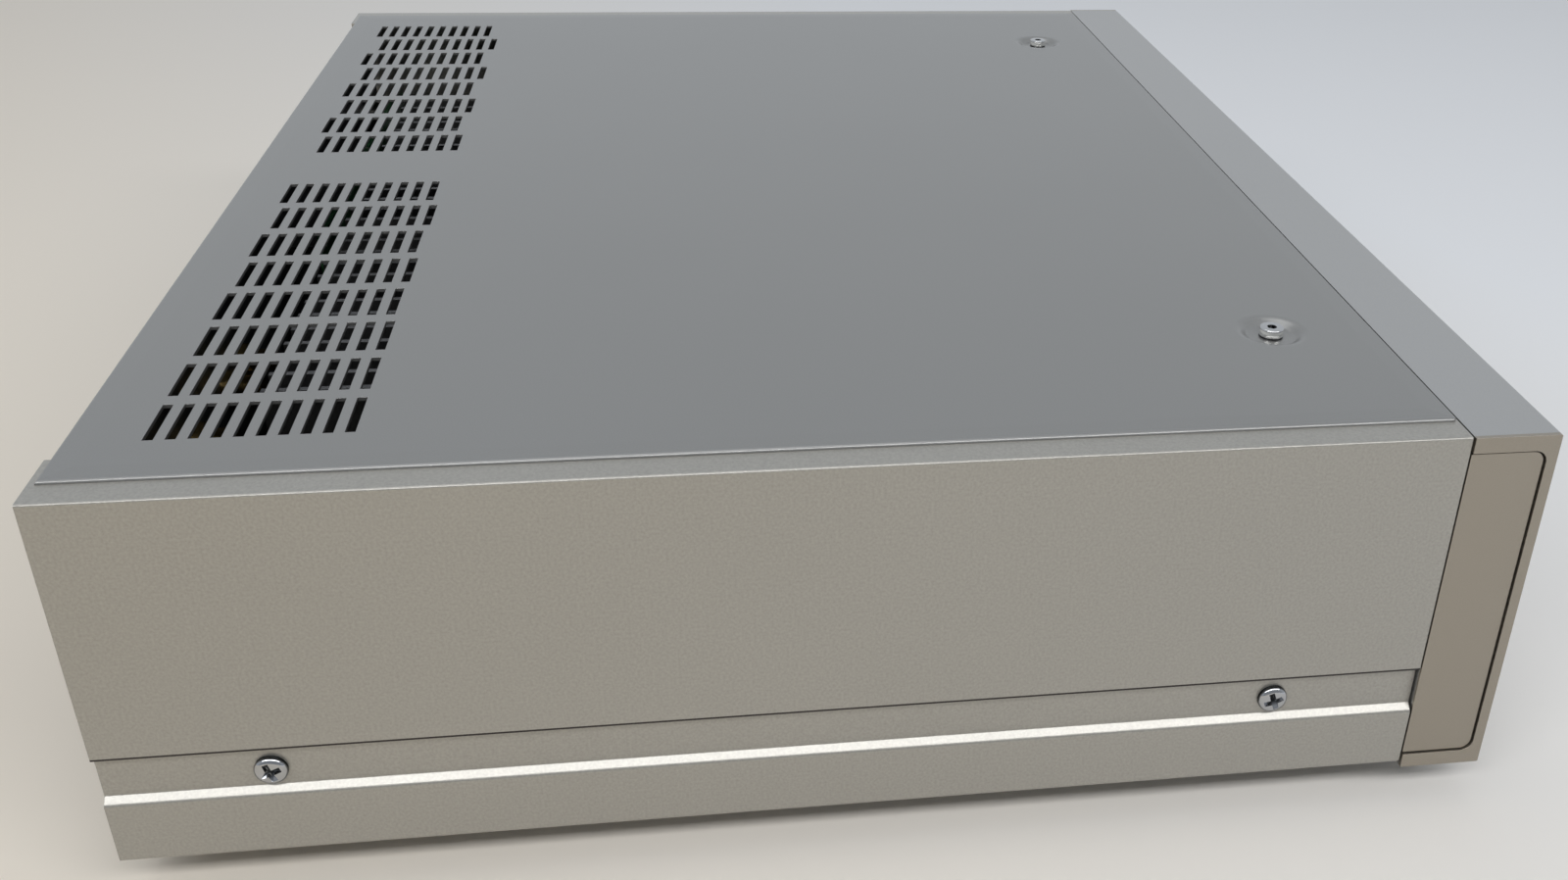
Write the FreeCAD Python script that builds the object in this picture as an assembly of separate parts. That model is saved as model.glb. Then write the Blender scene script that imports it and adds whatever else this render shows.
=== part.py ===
import FreeCAD, Part
import os
from math import cos, hypot, pi, sin

V = FreeCAD.Vector

# A full-width stereo receiver: sheet-metal case, extruded aluminium fascia, controls, rear sockets
# and the electronics inside. Millimetres. X runs across, -Y is the front, +Z is up.
# The origin is the bottom centre of the whole object, on the surface that its feet stand on.

# Case
BODY_WIDTH = 440.0
BODY_LENGTH = 335.0
BODY_HEIGHT = 103.7
FOOT_HEIGHT = 13.0
SEAT_GAP = 0.3
FASCIA_GAP = 0.5
SCREW_GAP = 0.05
HOLE_GAP = 0.25

# Base tray, one bent steel sheet with stepped side walls
TRAY_SHEET = 1.2
TRAY_WALL_HEIGHT = 18.2
TRAY_SLOPE_HEIGHT = 1.9
TRAY_UPPER_HEIGHT = 44.0
TRAY_BEND_R = 0.3
TRAY_LIP_HEIGHT = 13.0
TRAY_LIP_INSET = 8.0
FLOOR_SLOT_LENGTH = 46.0
FLOOR_SLOT_WIDTH = 4.0
FLOOR_SLOT_PITCH = 9.0
FLOOR_SLOT_COUNT = 4
FLOOR_SLOT_X = 30.0

# Side panels, bent sheet that lies on the tray's upper walls
PANEL_SHEET = 2.0
PANEL_BOTTOM = 32.4
PANEL_FLANGE = 20.0
PANEL_EDGE_R = 0.6
PANEL_TAB_WIDTH = 22.0
PANEL_TAB_TOP = 62.0
PANEL_TAB_BOTTOM = 20.5
SIDE_SCREW_Z = 25.0
SIDE_SCREW_FRONT = 39.3
SIDE_SCREW_REAR = 39.5

# Top cover, a flat sheet with rolled edges, vent slots and two dished screw seats
COVER_SHEET = 1.0
COVER_SIDE_INSET = 8.5
COVER_FRONT_INSET = 0.3
COVER_REAR_INSET = 1.7
COVER_CORNER_R = 1.5
COVER_ROLL_WIDTH = 6.0
COVER_ROLL_DROP = 0.2
COVER_EDGE_R = 0.75
COVER_LIP_HEIGHT = 12.0
DISH_TOP_R = 9.25
DISH_FLOOR_R = 6.85
DISH_DEPTH = 1.7
DISH_RIM_R = 4.0
DISH_FOOT_R = 1.5
DISH_RIM_REACH = 4.0
DISH_X = 156.3
DISH_Y = 29.1
COVER_SCREW_HEAD_R = 3.4
COVER_SCREW_HEAD = 2.8
COVER_SCREW_LENGTH = 9.0
HEX_SOCKET = 2.5
HEX_DEPTH = 1.4

# Vent slots: two groups of eight rows, ten slots in each row
SLOT_LENGTH = 18.0
SLOT_WIDTH = 2.45
SLOT_PITCH = 5.0
SLOTS_PER_ROW = 10
ROWS_PER_GROUP = 8
ROW_PITCH = 22.6
GROUP_START_X = 25.2
SLOTS_OFF_CENTRE = -2.0
SLOTS_FROM_REAR = 20.6
STAGGER_START = 0.2
STAGGER_STEP = 0.57

# Fascia, a C-shaped extrusion closed by an end cap at each side
FASCIA_DEPTH = 23.0
FASCIA_OVERHANG = 0.6
FASCIA_DROP = 1.0
FASCIA_WALL = 2.8
FASCIA_FLANGE = 4.4
FASCIA_EDGE_R = 0.4
CAP_GAP = 0.5
CAP_INSET = 0.6
CAP_SHEET = 3.0
CAP_CORNER_R = 3.0
CAP_SPIGOT = 6.0
CAP_SPIGOT_INSET = 4.5
BOSS_R = 4.0
BOSS_SIDE_INSET = 24.0
BOSS_TOP_INSET = 11.0
BOSS_LOW_Z = 8.0

# Front sub-chassis, a bent sheet between the fascia and the tray
SUBCHASSIS_SHEET = 1.2
SUBCHASSIS_INSET = 3.4
RAIL_DEPTH = 44.0
PAD_R = 4.0
PAD_HEIGHT = 3.0
PAD_X = 130.0

# Rear panel
REAR_SHEET = 1.2
REAR_FLANGE = 12.0
LIP_SCREW_X = 120.0
LIP_SCREW_INSET = 6.5

# Screws
M3_R = 1.5
M3_HEAD_R = 2.8
M3_HEAD = 2.0
M4_R = 2.0
M4_HEAD_R = 4.05
M4_HEAD = 2.2
SIDE_SCREW_LENGTH = 7.0
SHORT_SCREW = 8.0

# Feet
FOOT_TOP_R = 23.0
FOOT_BOTTOM_R = 20.0
FOOT_FLARE = 3.0
FOOT_WELL_R = 6.5
FOOT_WEB = 3.0
FOOT_SIDE_INSET = 50.0
FOOT_END_INSET = 52.0
PAD_RING_OUTER_R = 17.0
PAD_RING_INNER_R = 9.0
PAD_RING_THICK = 3.0
PAD_RING_PROUD = 1.5
PAD_RING_GAP = 0.3

# Front controls
KNOB_GAP = 1.0
SHAFT_R = 3.0
SHAFT_GAP = 0.05
SHAFT_HOLE_GAP = 1.0
PRESS_GAP = 0.02
KNOB_CHAMFER = 1.0
KNOB_DISH = 0.8
POINTER_WIDTH = 1.4
POINTER_DEPTH = 0.7
VOLUME_R = 28.0
VOLUME_LENGTH = 20.0
VOLUME_SIDE_INSET = 65.0
VOLUME_TOP_INSET = 47.0
INPUT_R = 19.0
INPUT_LENGTH = 17.0
INPUT_SIDE_INSET = 60.0
INPUT_TOP_INSET = 41.0
TONE_R = 9.0
TONE_LENGTH = 13.0
TONE_X = -95.0
TONE_PITCH = 32.0
LOWER_ROW_Z = 24.0
BUTTON_R = 3.5
BUTTON_PROUD = 1.6
BUTTON_CAP = 6.5
BUTTON_STEM_R = 2.0
BUTTON_TRAVEL = 1.0
BUTTON_X = 5.0
BUTTON_PITCH = 18.0
BUTTON_COUNT = 5
POWER_R = 7.0
POWER_PROUD = 2.6
POWER_CAP = 8.0
POWER_STEM_R = 2.5
POWER_TRAVEL = 2.0
POWER_SIDE_INSET = 32.0
BUTTON_GAP = 0.3
BUTTON_EDGE = 0.5
SWITCH_DEPTH = 7.4
SWITCH_WALL = 2.5
STEM_REACH = 3.0
STEM_SPARE = 1.0
WINDOW_WIDTH = 190.0
WINDOW_HEIGHT = 36.0
WINDOW_X = -10.0
WINDOW_TOP_INSET = 38.0
WINDOW_RECESS = 0.5
WINDOW_RIM = 2.5
WINDOW_BACK = 2.0
WINDOW_GAP = 0.2
TUBE_MARGIN = 6.0
TUBE_DEPTH = 7.0
PHONES_SIDE_INSET = 62.0
PHONES_BORE_R = 3.25
PHONES_BORE_DEPTH = 31.0
PHONES_NOSE_R = 5.5
PHONES_NOSE_PROUD = 0.6
PHONES_BODY = 15.0
PHONES_WALL = 2.0
BUSH_R = 4.5
BUSH_REACH = 8.0
VOLUME_POT_SIZE = 28.0
VOLUME_POT_DEPTH = 22.0
ENCODER_SIZE = 20.0
ENCODER_DEPTH = 12.0
TONE_POT_SIZE = 16.0
TONE_POT_DEPTH = 8.0
POT_BACK = 2.0

# Boards and what stands on them
BOARD_SHEET = 1.6
STANDOFF_HEIGHT = 10.0
STANDOFF_R = 3.5
STANDOFF_INSET = 8.0
AMP_BOARD_TOROID_GAP = 12.0
AMP_BOARD_SIDE_INSET = 22.0
AMP_BOARD_FRONT = 46.0
AMP_BOARD_GAP = 8.0
HEATSINK_HALF = 140.0
HEATSINK_BASE = 6.0
HEATSINK_DEPTH = 46.0
HEATSINK_HEIGHT = 86.0
HEATSINK_REAR = 26.0
FIN_THICK = 2.0
FIN_PITCH = 10.0
TRANSISTOR_X = 105.0
TRANSISTOR_COUNT = 4
TRANSISTOR_WIDTH = 15.6
TRANSISTOR_HEIGHT = 20.0
TRANSISTOR_THICK = 5.0
TRANSISTOR_Z = 40.0
CAPACITOR_R = 17.5
CAPACITOR_HEIGHT = 60.0
CAPACITOR_EDGE = 1.5
CAPACITOR_INSET = 30.0
CAPACITOR_PITCH = 42.0
CAPACITOR_Y = 70.0
TOROID_R = 58.0
TOROID_HOLE_R = 17.0
TOROID_HEIGHT = 50.0
TOROID_EDGE = 9.0
TOROID_SIDE_INSET = 98.0
TOROID_Y = 112.0
CLAMP_R = 32.0
CLAMP_SHEET = 2.0
CLAMP_DISH = 3.0
BOLT_R = 3.0
BOLT_HEAD_R = 5.0
BOLT_HEAD = 3.6

# Rear sockets
RCA_COLUMNS = 7
RCA_ROWS = 2
RCA_COLUMN_PITCH = 18.0
RCA_ROW_PITCH = 16.0
RCA_X = 22.0
RCA_Z = 46.0
RCA_SHELL_R = 4.15
RCA_SHELL_WALL = 0.5
RCA_SHELL_LENGTH = 8.5
RCA_NOSE_R = 5.2
RCA_NOSE_PROUD = 0.8
RCA_CORE_R = 2.9
RCA_CORE_LENGTH = 6.0
RCA_BLOCK_DEPTH = 12.0
RCA_BLOCK_MARGIN = 8.0
INPUT_BOARD_MARGIN = 5.0
INPUT_BOARD_SIDE_INSET = 16.0
TUNER_WIDTH = 46.0
TUNER_DEPTH = 18.0
TUNER_HEIGHT = 32.0
POST_Z = 62.0
POST_X = -62.0
POST_PITCH = 19.0
POST_PAIR_PITCH = 53.0
POST_STUD_R = 3.5
POST_SHOULDER_R = 6.0
POST_SHOULDER = 3.0
POST_INNER = 8.0
POST_NUT_R = 5.5
POST_NUT = 3.0
POST_CAP_R = 7.5
POST_CAP_LENGTH = 16.0
POST_END_STEP = 1.0
BANANA_R = 2.0
BANANA_DEPTH = 10.0
WIRE_HOLE_R = 1.25
WIRE_HOLE_STEP = 2.0
POST_RIBS = 12
POST_RIB_DEPTH = 0.8
TERMINAL_PLATE = 2.5
TERMINAL_MARGIN = 12.0
TERMINAL_CORNER_R = 3.0
INLET_SIDE_INSET = 40.0
INLET_Z = 32.0
INLET_CAVITY_WIDTH = 24.0
INLET_CAVITY_HEIGHT = 16.0
INLET_CAVITY_DEPTH = 15.5
INLET_CORNER = 3.5
INLET_WALL = 1.8
INLET_FLOOR = 3.0
INLET_RIM = 3.5
INLET_RIM_SHEET = 2.5
BLADE_THICK = 2.0
BLADE_WIDTH = 4.0
BLADE_SPACING = 14.0
BLADE_RISE = 4.0
BLADE_SHORT = 5.0
BLADE_TAIL = 7.0
AERIAL_SIDE_INSET = 38.0
AERIAL_Z = 40.0
AERIAL_WIDTH = 26.0
AERIAL_HEIGHT = 18.0
AERIAL_DEPTH = 9.0
LEVER_WIDTH = 7.0
LEVER_PITCH = 12.0
LEVER_THICK = 3.0
LEVER_PROUD = 1.5
LEVER_PIVOT_Z = 5.0
LEVER_PIVOT_R = 1.0
LEVER_TRUNNION = 1.2
LEVER_LOW = 3.0
LEVER_HIGH = 11.0
FM_Z = 68.0
FM_BARREL_R = 4.7
FM_BARREL_WALL = 0.9
FM_BARREL_LENGTH = 10.0
FM_FLANGE_R = 6.5
FM_FLANGE = 2.0
FM_INNER = 8.0

# Places that follow from the sizes above
HALF_WIDTH = BODY_WIDTH / 2
FRONT_REACH = FASCIA_DEPTH + KNOB_GAP + VOLUME_LENGTH
POST_REACH = TERMINAL_PLATE + POST_SHOULDER + SEAT_GAP + POST_CAP_LENGTH
REAR_REACH = SUBCHASSIS_SHEET + BODY_LENGTH - COVER_REAR_INSET - COVER_SHEET + POST_REACH
Y_FASCIA = (FRONT_REACH - REAR_REACH) / 2
Y_FACE = Y_FASCIA - FASCIA_DEPTH
Y_WALL = Y_FACE + FASCIA_WALL
Y_FRONT = Y_FASCIA + SUBCHASSIS_SHEET
Y_CASE = Y_FASCIA + FASCIA_GAP
Y_REAR = Y_FRONT + BODY_LENGTH
Y_COVER_REAR = Y_REAR - COVER_REAR_INSET
Y_PANEL = Y_COVER_REAR - COVER_SHEET
Y_PANEL_IN = Y_PANEL - REAR_SHEET
Y_CONTROL = Y_FASCIA - PAD_HEIGHT - BOARD_SHEET
Y_SWITCH = Y_CONTROL - SWITCH_DEPTH
Y_KNOB = Y_FACE - KNOB_GAP
Z_TRAY = FOOT_HEIGHT
Z_FLOOR = Z_TRAY + TRAY_SHEET
Z_TOP = Z_TRAY + BODY_HEIGHT
Z_COVER = Z_TOP + COVER_SHEET
Z_SEAT = Z_TOP - DISH_DEPTH
TRAY_STEP = PANEL_SHEET
WALL_IN = HALF_WIDTH - TRAY_STEP - TRAY_SHEET
FLANGE_IN = HALF_WIDTH - PANEL_FLANGE
MIDDLE_HALF = FLANGE_IN - 5 * SEAT_GAP
FASCIA_HALF = HALF_WIDTH + FASCIA_OVERHANG
FASCIA_LOW = Z_TRAY - FASCIA_DROP
BOSS_X = HALF_WIDTH - BOSS_SIDE_INSET
BOSS_TOP_Z = Z_TOP - BOSS_TOP_INSET
BOSS_LOW = Z_TRAY + BOSS_LOW_Z
CONTROL_LOW = BOSS_LOW + BOSS_R + SEAT_GAP
CONTROL_TOP = BOSS_TOP_Z - BOSS_R - SEAT_GAP
ROW_Z = Z_TRAY + LOWER_ROW_Z
VOLUME_X = HALF_WIDTH - VOLUME_SIDE_INSET
VOLUME_Z = Z_TOP - VOLUME_TOP_INSET
INPUT_X = INPUT_SIDE_INSET - HALF_WIDTH
INPUT_Z = Z_TOP - INPUT_TOP_INSET
POWER_X = POWER_SIDE_INSET - HALF_WIDTH
PHONES_X = PHONES_SIDE_INSET - HALF_WIDTH
WINDOW_Z = Z_TOP - WINDOW_TOP_INSET
TOROID_X = TOROID_SIDE_INSET - HALF_WIDTH
AMP_BOARD_X0 = TOROID_X + TOROID_R + AMP_BOARD_TOROID_GAP
AMP_BOARD_X1 = HALF_WIDTH - AMP_BOARD_SIDE_INSET
AMP_BOARD_Z = Z_FLOOR + STANDOFF_HEIGHT
AMP_BOARD_TOP = AMP_BOARD_Z + BOARD_SHEET
HEATSINK_Y1 = Y_PANEL_IN - HEATSINK_REAR
HEATSINK_Y0 = HEATSINK_Y1 - HEATSINK_DEPTH
AMP_BOARD_Y0 = Y_FRONT + AMP_BOARD_FRONT
AMP_BOARD_Y1 = HEATSINK_Y0 - TRANSISTOR_THICK - AMP_BOARD_GAP
INLET_X = INLET_SIDE_INSET - HALF_WIDTH
INLET_MID_Z = Z_TRAY + INLET_Z
AERIAL_X = HALF_WIDTH - AERIAL_SIDE_INSET
AERIAL_LOW = Z_TRAY + AERIAL_Z
POST_MID_Z = Z_TRAY + POST_Z
POST_BASE_Y = Y_PANEL + TERMINAL_PLATE
POST_CAP_Y = POST_BASE_Y + POST_SHOULDER + SEAT_GAP
POST_END_Y = POST_CAP_Y + POST_CAP_LENGTH - POST_END_STEP
RCA_LOW_Z = Z_TRAY + RCA_Z
INPUT_BOARD_Y = Y_PANEL_IN - RCA_BLOCK_DEPTH - BOARD_SHEET
COVER_SCREW_Y = Y_FRONT + DISH_Y
TOROID_MID_Y = Y_FRONT + TOROID_Y
LEVER_AXIS_Y = Y_PANEL + AERIAL_DEPTH - LEVER_THICK / 2
LEVER_AXIS_Z = AERIAL_LOW + LEVER_PIVOT_Z


def on_xz(y):
    return lambda u, v: V(u, y, v)


def on_yz(x):
    return lambda u, v: V(x, u, v)


def on_xy(z):
    return lambda u, v: V(u, v, z)


def box(x0, x1, y0, y1, z0, z1):
    return Part.makeBox(x1 - x0, y1 - y0, z1 - z0, V(x0, y0, z0))


def rod_y(radius, x, z, y0, y1):
    """A cylinder along Y."""
    return Part.makeCylinder(radius, y1 - y0, V(x, y0, z), V(0, 1, 0))


def rod_z(radius, x, y, z0, z1):
    """A cylinder along Z."""
    return Part.makeCylinder(radius, z1 - z0, V(x, y, z0))


def rod_x(radius, y, z, x0, x1):
    """A cylinder along X."""
    return Part.makeCylinder(radius, x1 - x0, V(x0, y, z), V(1, 0, 0))


def rounded_wire(points, radii, place):
    """A closed outline with an arc of its own radius at each corner."""
    count = len(points)
    ends = []
    for i, (px, py) in enumerate(points):
        ax, ay = points[i - 1]
        bx, by = points[(i + 1) % count]
        la = hypot(ax - px, ay - py)
        lb = hypot(bx - px, by - py)
        ux, uy = (ax - px) / la, (ay - py) / la
        wx, wy = (bx - px) / lb, (by - py) / lb
        if radii[i] == 0:
            ends.append([(px, py)])
            continue
        half_cos = ((1 + ux * wx + uy * wy) / 2) ** 0.5
        half_sin = (1 - half_cos**2) ** 0.5
        reach = radii[i] * half_cos / half_sin
        mx, my = (ux + wx) / (2 * half_cos), (uy + wy) / (2 * half_cos)
        depth = radii[i] / half_sin - radii[i]
        first = (px + ux * reach, py + uy * reach)
        middle = (px + mx * depth, py + my * depth)
        last = (px + wx * reach, py + wy * reach)
        ends.append([first, middle, last])
    edges = []
    for i in range(count):
        corner = [place(*point) for point in ends[i]]
        if len(corner) == 3:
            edges.append(Part.Arc(*corner).toShape())
        start = corner[-1]
        finish = place(*ends[(i + 1) % count][0])
        if start.distanceToPoint(finish) > 1e-6:
            edges.append(Part.LineSegment(start, finish).toShape())
    return Part.Wire(edges)


def bevelled(points, cuts):
    """The same outline with each corner cut back by its own length along both sides."""
    count = len(points)
    result = []
    for i, (px, py) in enumerate(points):
        if cuts[i] == 0:
            result.append((px, py))
            continue
        for qx, qy in (points[i - 1], points[(i + 1) % count]):
            share = cuts[i] / hypot(qx - px, qy - py)
            result.append((px + (qx - px) * share, py + (qy - py) * share))
    return result


def prism(points, radii, place, reach):
    """A solid from a rounded outline, drawn out along a vector."""
    return Part.Face(rounded_wire(points, radii, place)).extrude(reach)


def sharp(points):
    return [0.0] * len(points)


def rectangle(u0, u1, v0, v1):
    return [(u0, v0), (u1, v0), (u1, v1), (u0, v1)]


def turned(points, x, z):
    """A solid turned about a line along Y through x, z, from an outline of radius and Y."""
    face = Part.Face(rounded_wire(points, sharp(points), lambda r, y: V(x + r, y, z)))
    return face.revolve(V(x, 0, z), V(0, 1, 0), 360)


def turned_upright(points, x, y, radii=None):
    """A solid turned about a line along Z through x, y, from an outline of radius and Z."""
    face = Part.Face(rounded_wire(points, radii or sharp(points), lambda r, z: V(x + r, y, z)))
    return face.revolve(V(x, y, 0), V(0, 0, 1), 360)


def bent_sheet(path, thickness, inner_r, outer_r, place, reach):
    """A bent sheet: the path is one face, and the thickness lies to its left."""
    offset = []
    path_radii = []
    offset_radii = []
    last = len(path) - 1
    for i, (px, py) in enumerate(path):
        steps = []
        if i > 0:
            steps.append((px - path[i - 1][0], py - path[i - 1][1]))
        if i < last:
            steps.append((path[i + 1][0] - px, path[i + 1][1] - py))
        normals = [(-dy / hypot(dx, dy), dx / hypot(dx, dy)) for dx, dy in steps]
        if len(normals) == 1:
            nx, ny = normals[0]
            offset.append((px + nx * thickness, py + ny * thickness))
            path_radii.append(0.0)
            offset_radii.append(0.0)
            continue
        (ax, ay), (bx, by) = normals
        scale = thickness / (1 + ax * bx + ay * by)
        offset.append((px + (ax + bx) * scale, py + (ay + by) * scale))
        turns_left = ax * by - ay * bx > 0
        path_radii.append(outer_r if turns_left else inner_r)
        offset_radii.append(inner_r if turns_left else outer_r)
    points = path + offset[::-1]
    radii = path_radii + offset_radii[::-1]
    return prism(points, radii, place, reach)


def mirrored(shape):
    return shape.mirror(V(0, 0, 0), V(1, 0, 0))


def both_sides(shape):
    return [shape, mirrored(shape)]


def fused(first, others):
    return first.fuse(others).removeSplitter() if others else first


def drilled(shape, cutters):
    return shape.cut(cutters) if cutters else shape


def write(node, solids):
    """One file for each node, holding one solid or a group of like solids."""
    shape = solids[0] if len(solids) == 1 else Part.makeCompound(solids)
    shape.exportStep(os.path.join("parts", node + ".step"))


# Places of what repeats


def foot_places():
    x = HALF_WIDTH - FOOT_SIDE_INSET
    rows = [Y_FRONT + FOOT_END_INSET, Y_REAR - FOOT_END_INSET]
    return [(side * x, y) for side in (-1, 1) for y in rows]


def side_screw_rows():
    return [Y_FRONT + SIDE_SCREW_FRONT, Y_REAR - SIDE_SCREW_REAR]


def boss_places():
    return [(x, z) for x in (-BOSS_X, 0.0, BOSS_X) for z in (BOSS_LOW, BOSS_TOP_Z)]


def lip_screw_places():
    return [-LIP_SCREW_X, 0.0, LIP_SCREW_X]


def tone_places():
    return [TONE_X + TONE_PITCH * i for i in range(3)]


def button_places():
    return [BUTTON_X + BUTTON_PITCH * i for i in range(BUTTON_COUNT)]


def pad_places():
    low = CONTROL_LOW + PAD_R + SEAT_GAP
    top = CONTROL_TOP - PAD_R - SEAT_GAP
    return [(x, z) for x in (-PAD_X, PAD_X) for z in (low, top)]


def standoff_places():
    xs = [AMP_BOARD_X0 + STANDOFF_INSET, (AMP_BOARD_X0 + AMP_BOARD_X1) / 2, AMP_BOARD_X1 - STANDOFF_INSET]
    ys = [AMP_BOARD_Y0 + STANDOFF_INSET, AMP_BOARD_Y1 - STANDOFF_INSET]
    return [(x, y) for x in xs for y in ys]


def transistor_places():
    step = 2 * TRANSISTOR_X / (TRANSISTOR_COUNT - 1)
    return [-TRANSISTOR_X + step * i for i in range(TRANSISTOR_COUNT)]


def rca_places():
    columns = [RCA_X + RCA_COLUMN_PITCH * i for i in range(RCA_COLUMNS)]
    rows = [RCA_LOW_Z + RCA_ROW_PITCH * i for i in range(RCA_ROWS)]
    return [(x, z) for x in columns for z in rows]


def post_places():
    """Two pairs of speaker posts, each pair at the spacing of a double plug."""
    pair_starts = [POST_X, POST_X - POST_PAIR_PITCH]
    return [start - POST_PITCH * i for start in pair_starts for i in range(2)]


def lever_places():
    return [AERIAL_X - LEVER_PITCH / 2, AERIAL_X + LEVER_PITCH / 2]


# Case


def slot_rows():
    """The X of each row of vent slots and how far the row drifts to the rear."""
    total = 2 * ROWS_PER_GROUP
    rows = []
    for i in range(total):
        group_side = -1 if i < ROWS_PER_GROUP else 1
        step = i if i < ROWS_PER_GROUP else i - ROWS_PER_GROUP
        inner = GROUP_START_X + ROW_PITCH * (ROWS_PER_GROUP - 1 - step if group_side < 0 else step)
        drift = STAGGER_START + STAGGER_STEP * (i // 2) if i % 2 else 0.0
        rows.append((group_side * inner + SLOTS_OFF_CENTRE, drift))
    return rows


def vent_slots():
    cutters = []
    low = Z_TOP - COVER_SHEET
    high = Z_COVER + COVER_SHEET
    last_y = Y_REAR - SLOTS_FROM_REAR
    for x, drift in slot_rows():
        for i in range(SLOTS_PER_ROW):
            y = last_y - SLOT_PITCH * i + drift
            x0, x1 = x - SLOT_LENGTH / 2, x + SLOT_LENGTH / 2
            cutters.append(box(x0, x1, y - SLOT_WIDTH / 2, y + SLOT_WIDTH / 2, low, high))
    return cutters


def rolled_section(u0, u1, place, reach):
    """The cover's section: flat in the middle, with each edge rolled off over a short width."""
    low_edge = Z_COVER - COVER_ROLL_DROP
    points = [(u0, Z_TOP), (u1, Z_TOP), (u1, low_edge), (u1 - COVER_ROLL_WIDTH, Z_COVER)]
    points += [(u0 + COVER_ROLL_WIDTH, Z_COVER), (u0, low_edge)]
    soft_r = 4 * COVER_ROLL_WIDTH
    return prism(points, [0.0, 0.0, COVER_EDGE_R, soft_r, soft_r, COVER_EDGE_R], place, reach)


def cover_plate():
    half = HALF_WIDTH - COVER_SIDE_INSET
    y0 = Y_CASE + COVER_FRONT_INSET
    length = Y_COVER_REAR - y0
    across = rolled_section(-half, half, on_xz(y0), V(0, length, 0))
    along = rolled_section(y0, Y_COVER_REAR, on_yz(-half), V(2 * half, 0, 0))
    plan = rectangle(-half, half, y0, Y_COVER_REAR)
    radii = [COVER_CORNER_R, COVER_CORNER_R, 0.0, 0.0]
    sheet = prism(plan, radii, on_xy(Z_TOP), V(0, 0, COVER_SHEET))
    return sheet.common(across).common(along)


def screw_dish(x, y):
    """The pressed seat of a cover screw, and the space above it."""
    slope = (DISH_TOP_R - DISH_FLOOR_R) / DISH_DEPTH
    under_r = DISH_TOP_R + slope * COVER_SHEET
    cup = [(0.0, Z_SEAT), (DISH_FLOOR_R + COVER_SHEET / 2, Z_SEAT), (under_r, Z_TOP), (0.0, Z_TOP)]
    rim_x = DISH_TOP_R + DISH_RIM_REACH
    space = [(0.0, Z_SEAT + COVER_SHEET), (DISH_FLOOR_R, Z_SEAT + COVER_SHEET), (DISH_TOP_R, Z_COVER)]
    space += [(rim_x, Z_COVER), (rim_x, Z_COVER + COVER_SHEET), (0.0, Z_COVER + COVER_SHEET)]
    radii = [0.0, DISH_FOOT_R, DISH_RIM_R, 0.0, 0.0, 0.0]
    return turned_upright(cup, x, y), turned_upright(space, x, y, radii)


def top_cover():
    cups = []
    spaces = []
    for side in (-1, 1):
        cup, space = screw_dish(side * DISH_X, COVER_SCREW_Y)
        cups.append(cup)
        spaces.append(space)
        spaces.append(rod_z(M4_R + HOLE_GAP, side * DISH_X, COVER_SCREW_Y, Z_SEAT - COVER_SHEET, Z_COVER))
    lip = box(-MIDDLE_HALF, MIDDLE_HALF, Y_PANEL, Y_COVER_REAR, Z_COVER - COVER_LIP_HEIGHT, Z_TOP)
    cover = fused(cover_plate(), cups + [lip])
    lip_z = Z_COVER - LIP_SCREW_INSET
    holes = [rod_y(M3_R + HOLE_GAP, x, lip_z, Y_PANEL_IN, Y_REAR) for x in lip_screw_places()]
    return drilled(cover, spaces + vent_slots() + holes)


def base_tray():
    step_z = Z_TRAY + TRAY_WALL_HEIGHT
    upper_x = HALF_WIDTH - TRAY_STEP
    half_path = [(HALF_WIDTH, Z_TRAY), (HALF_WIDTH, step_z)]
    half_path += [(upper_x, step_z + TRAY_SLOPE_HEIGHT), (upper_x, Z_TRAY + TRAY_UPPER_HEIGHT)]
    path = [(-x, z) for x, z in half_path[::-1]] + half_path
    outer_r = TRAY_BEND_R + TRAY_SHEET
    reach = V(0, Y_REAR - Y_CASE, 0)
    tray = bent_sheet(path, TRAY_SHEET, TRAY_BEND_R, outer_r, on_xz(Y_CASE), reach)
    lip_half = WALL_IN - TRAY_LIP_INSET
    lip_top = Z_TRAY + TRAY_LIP_HEIGHT
    front_lip = box(-lip_half, lip_half, Y_FRONT, Y_FRONT + TRAY_SHEET, Z_TRAY, lip_top)
    rear_lip = box(-lip_half, lip_half, Y_PANEL, Y_PANEL + TRAY_SHEET, Z_TRAY, lip_top)
    behind = box(-lip_half, lip_half, Y_PANEL + TRAY_SHEET, Y_REAR + 1, Z_TRAY - 1, Z_FLOOR + 1)
    notch_top = Z_TRAY + TRAY_UPPER_HEIGHT + 1
    ahead = box(-WALL_IN, WALL_IN, Y_CASE - 1, Y_FRONT, Z_TRAY - 1, notch_top)
    return drilled(fused(tray, [front_lip, rear_lip]), [ahead, behind] + tray_holes() + floor_slots())


def tray_holes():
    holes = [rod_z(M4_R + HOLE_GAP, x, y, Z_TRAY - 1, Z_FLOOR + 1) for x, y in foot_places()]
    holes.append(rod_z(BOLT_R + HOLE_GAP, TOROID_X, TOROID_MID_Y, Z_TRAY - 1, Z_FLOOR + 1))
    side_z = Z_TRAY + SIDE_SCREW_Z
    for y in side_screw_rows():
        holes += both_sides(rod_x(M4_R + HOLE_GAP, y, side_z, WALL_IN - 1, HALF_WIDTH))
    boss_end = Y_FRONT + TRAY_SHEET + 1
    holes += [rod_y(M3_R + HOLE_GAP, x, BOSS_LOW, Y_FRONT - 1, boss_end) for x in (-BOSS_X, 0.0, BOSS_X)]
    lip_z = Z_TRAY + LIP_SCREW_INSET
    holes += [rod_y(M3_R + HOLE_GAP, x, lip_z, Y_PANEL_IN, Y_REAR) for x in lip_screw_places()]
    return holes


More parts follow.
